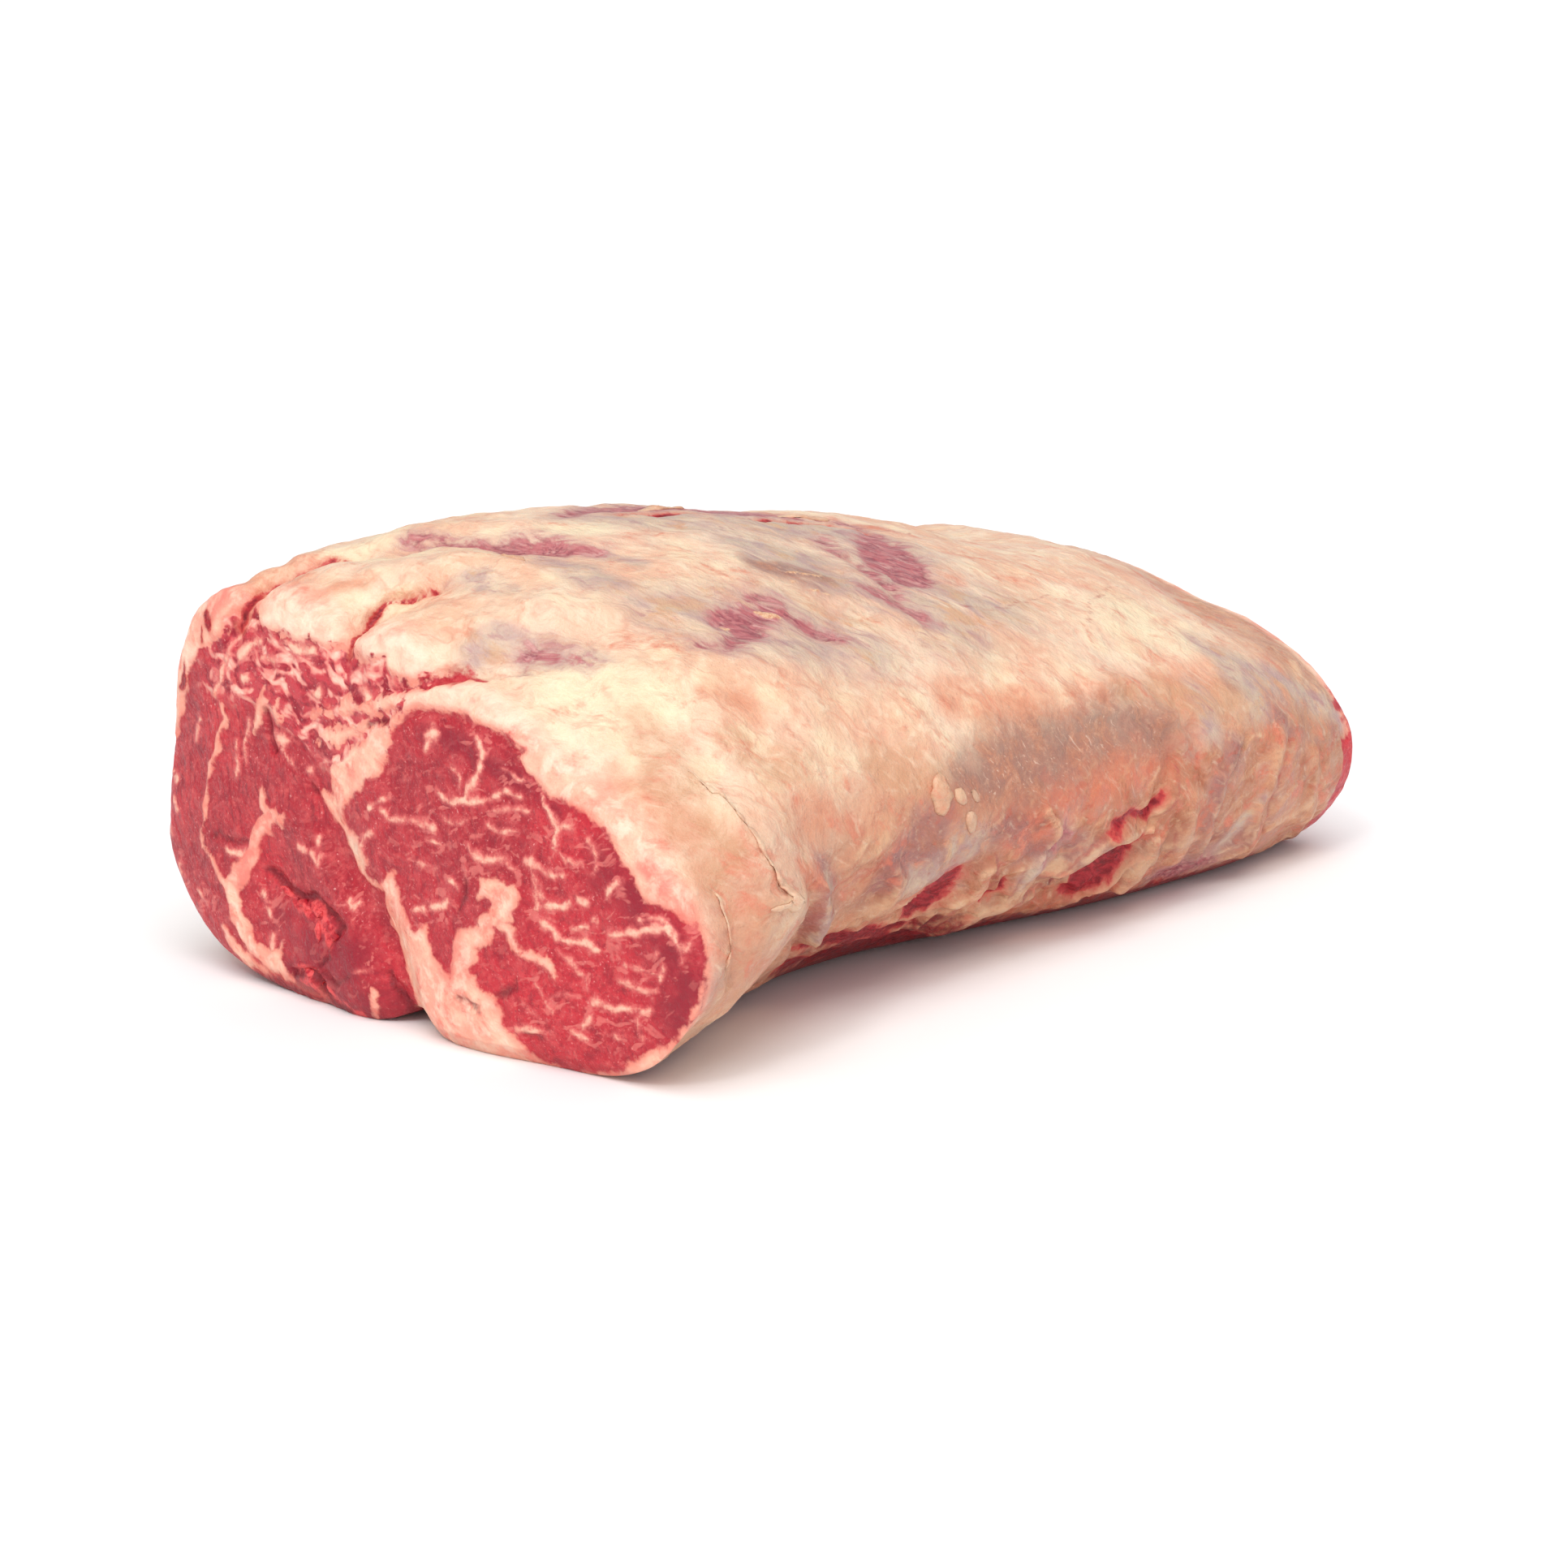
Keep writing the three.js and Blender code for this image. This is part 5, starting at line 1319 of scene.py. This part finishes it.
def red_gaps(m, skin, f, n):
    """Slits and holes of the cover with bright muscle in them, and painted shade deep inside."""
    slit = m.stirred(m.stirred(f["red"], n["fine"], 4.0), n["clots"], 6.0)
    inside = m.mix(m.step(n["hair"], 0.36, 0.66), GAP["dark"], GAP["red"])
    inside = m.tint(inside, GAP["clot"], n["clots"], 0.46, 0.30, 0, 0.5)
    # painted shade: deeper in the slit, the colour goes from the lighter wall to the dark inside
    deep = m.mix(m.step(slit, 0.2, 2.4), GAP["wall"], inside)
    skin = m.tint(skin, GAP["rim"], slit, -4.0, 0.2, 0, 0.55)
    return m.tint(skin, deep, slit, -0.9, 0.9)


def wet_underside(m, skin, f, n):
    """Muscle that wraps round from below, dark and wet along the floor."""
    wet = m.step(m.stirred(f["wet"], n["clots"], 1.1), 0.4, 0.8)
    muscle = m.mix(m.step(n["fine"], 0.36, 0.62), MUSCLE["wet_dark"], MUSCLE["wet"])
    return m.tint(skin, muscle, f["cut"], 0.6, 0.1, 0.25, 0.92, wet)


def meat_material():
    m = Shades("raw_meat")
    obj = m.add("ShaderNodeTexCoord", {}, out=3)
    place = m.scaled(obj, 1 / MM)
    f = {name: m.number(name) for name in FIELD_NAMES}
    bent = m.warp(place, 14, 9)
    n = {
        "place": place,
        "bent": bent,
        "wide": m.warp(place, 7, 7),
        "grain": m.noise(place, 1.0, 2, 0.6),
        "fine": m.noise(place, 2.6, 4, 0.62),
        "medium": m.noise(place, 9, 4, 0.58),
        "broad": m.noise(place, 36, 2),
        "clots": m.noise(bent, 5, 3, 0.55),
        "patches": m.noise(m.drawn_out(bent, FIBRE_WAY, 2.5), 13, 4, 0.6),
        "blotches": m.noise(m.drawn_out(bent, FIBRE_WAY, 2.0), 7.5, 4, 0.65),
        "streak": m.noise(m.drawn_out(bent, FIBRE_WAY, 7), 2.4, 3, 0.58),
        "hair": m.noise(m.drawn_out(bent, FIBRE_WAY, 10), 1.2, 2, 0.5),
    }
    fat = m.mix(f["cut"], cover_fat(m, f, n), cut_fat(m, f, n))
    lean, seams = lean_muscle(m, f, n)

    # the fat's edge wanders, most where the marbling is dense
    edge = m.stirred(f["lean"], n["fine"], 2.4)
    wander = m.sum("MULTIPLY_ADD", f["marble"], 7.0, 5.0)
    shift = m.both(m.sum("SUBTRACT", n["clots"], 0.5), wander)
    skin = m.mix(m.step(m.sum("ADD", edge, shift), -0.8, 0.7), fat, lean)
    # painted shade in the cracks of the cut face
    skin = m.tint(skin, MUSCLE["crack_shade"], n["fine"], 0.3, 0.5, 0.6, 1.0, f["crack_shade"])
    for lay in (muscle_windows, tan_flakes, red_gaps, wet_underside):
        skin = lay(m, skin, f, n)

    # bump: grain of the muscle, wrinkles of the skin, and fat standing over muscle
    height = m.both(n["fine"], 0.6)
    for part, amount in (("grain", 0.2), ("streak", 0.2), ("clots", 1.2), ("blotches", 0.9)):
        height = m.sum("MULTIPLY_ADD", n[part], amount, height)
    height = m.sum("MULTIPLY_ADD", seams, 0.2, height)
    sockets = {
        "Base Color": skin,
        "Roughness": m.step(n["fine"], 0.3, 0.7, 0.32, 0.52),
        "Normal": m.add("ShaderNodeBump", {"Strength": 0.8, "Distance": MM, "Height": height}),
        "Subsurface Weight": 0.12,
        "Subsurface Radius": (1.0, 0.45, 0.3),
        "Subsurface Scale": 3 * MM,
        "Specular IOR Level": 0.3,
        "Coat Weight": 0.05,
        "Coat Roughness": 0.25,
    }
    return finish_material(m, sockets)


def finish_material(m, sockets):
    shader = m.add("ShaderNodeBsdfPrincipled", sockets)
    m.add("ShaderNodeOutputMaterial", {"Surface": shader})
    return m.material


# ---- Floor, light and camera -------------------------------------------------------------------
def make_floor():
    bm = bmesh.new()
    bmesh.ops.create_grid(bm, x_segments=1, y_segments=1, size=FLOOR_REACH)
    floor = new_object("floor", bm)
    sockets = {"Base Color": FLOOR_PAINT, "Roughness": 0.8}
    floor.data.materials.append(finish_material(Shades("floor_paint"), sockets))
    return floor


def light_studio():
    """Even white light from all round, and a wide soft key from above the large end."""
    world = bpy.data.worlds.new("studio")
    world.use_nodes = True
    background = world.node_tree.nodes["Background"]
    background.inputs["Color"].default_value = (1, 1, 1, 1)
    background.inputs["Strength"].default_value = AMBIENT
    bpy.context.scene.world = world
    for name, (energy, width, way) in SUNS.items():
        sun = bpy.data.lights.new(name, "SUN")
        sun.energy = energy
        sun.angle = math.radians(width)
        lamp = bpy.data.objects.new(name, sun)
        lamp.rotation_euler = (-Vector(way)).to_track_quat("-Z", "Y").to_euler()
        bpy.context.scene.collection.objects.link(lamp)


def add_camera():
    azimuth, elevation = math.radians(CAMERA_AZIMUTH), math.radians(CAMERA_ELEVATION)
    flat = math.cos(elevation)
    back = Vector((math.sin(azimuth) * flat, -math.cos(azimuth) * flat, math.sin(elevation)))
    data = bpy.data.cameras.new("camera")
    data.lens = LENS
    data.sensor_width = SENSOR
    camera = bpy.data.objects.new("camera", data)
    camera.location = CAMERA_PLACE
    camera.rotation_euler = (-back).to_track_quat("-Z", "Y").to_euler()
    bpy.context.scene.collection.objects.link(camera)
    bpy.context.scene.camera = camera


roast = build_roast()
surface = BVHTree.FromPolygons(
    [v.co for v in roast.data.vertices], [p.vertices for p in roast.data.polygons]
)
pieces = [roast] + [
    make_cords(name, strokes, surface, flat, tilt, finish)
    for name, (strokes, flat, tilt, finish) in CORDS.items()
]
meat = meat_material()
for piece in pieces:
    piece.data.materials.append(meat)
    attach(piece, "root")
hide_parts("rib_roast")
make_floor()
light_studio()
add_camera()
bpy.context.scene.view_settings.view_transform = "Standard"

bpy.context.view_layer.update()
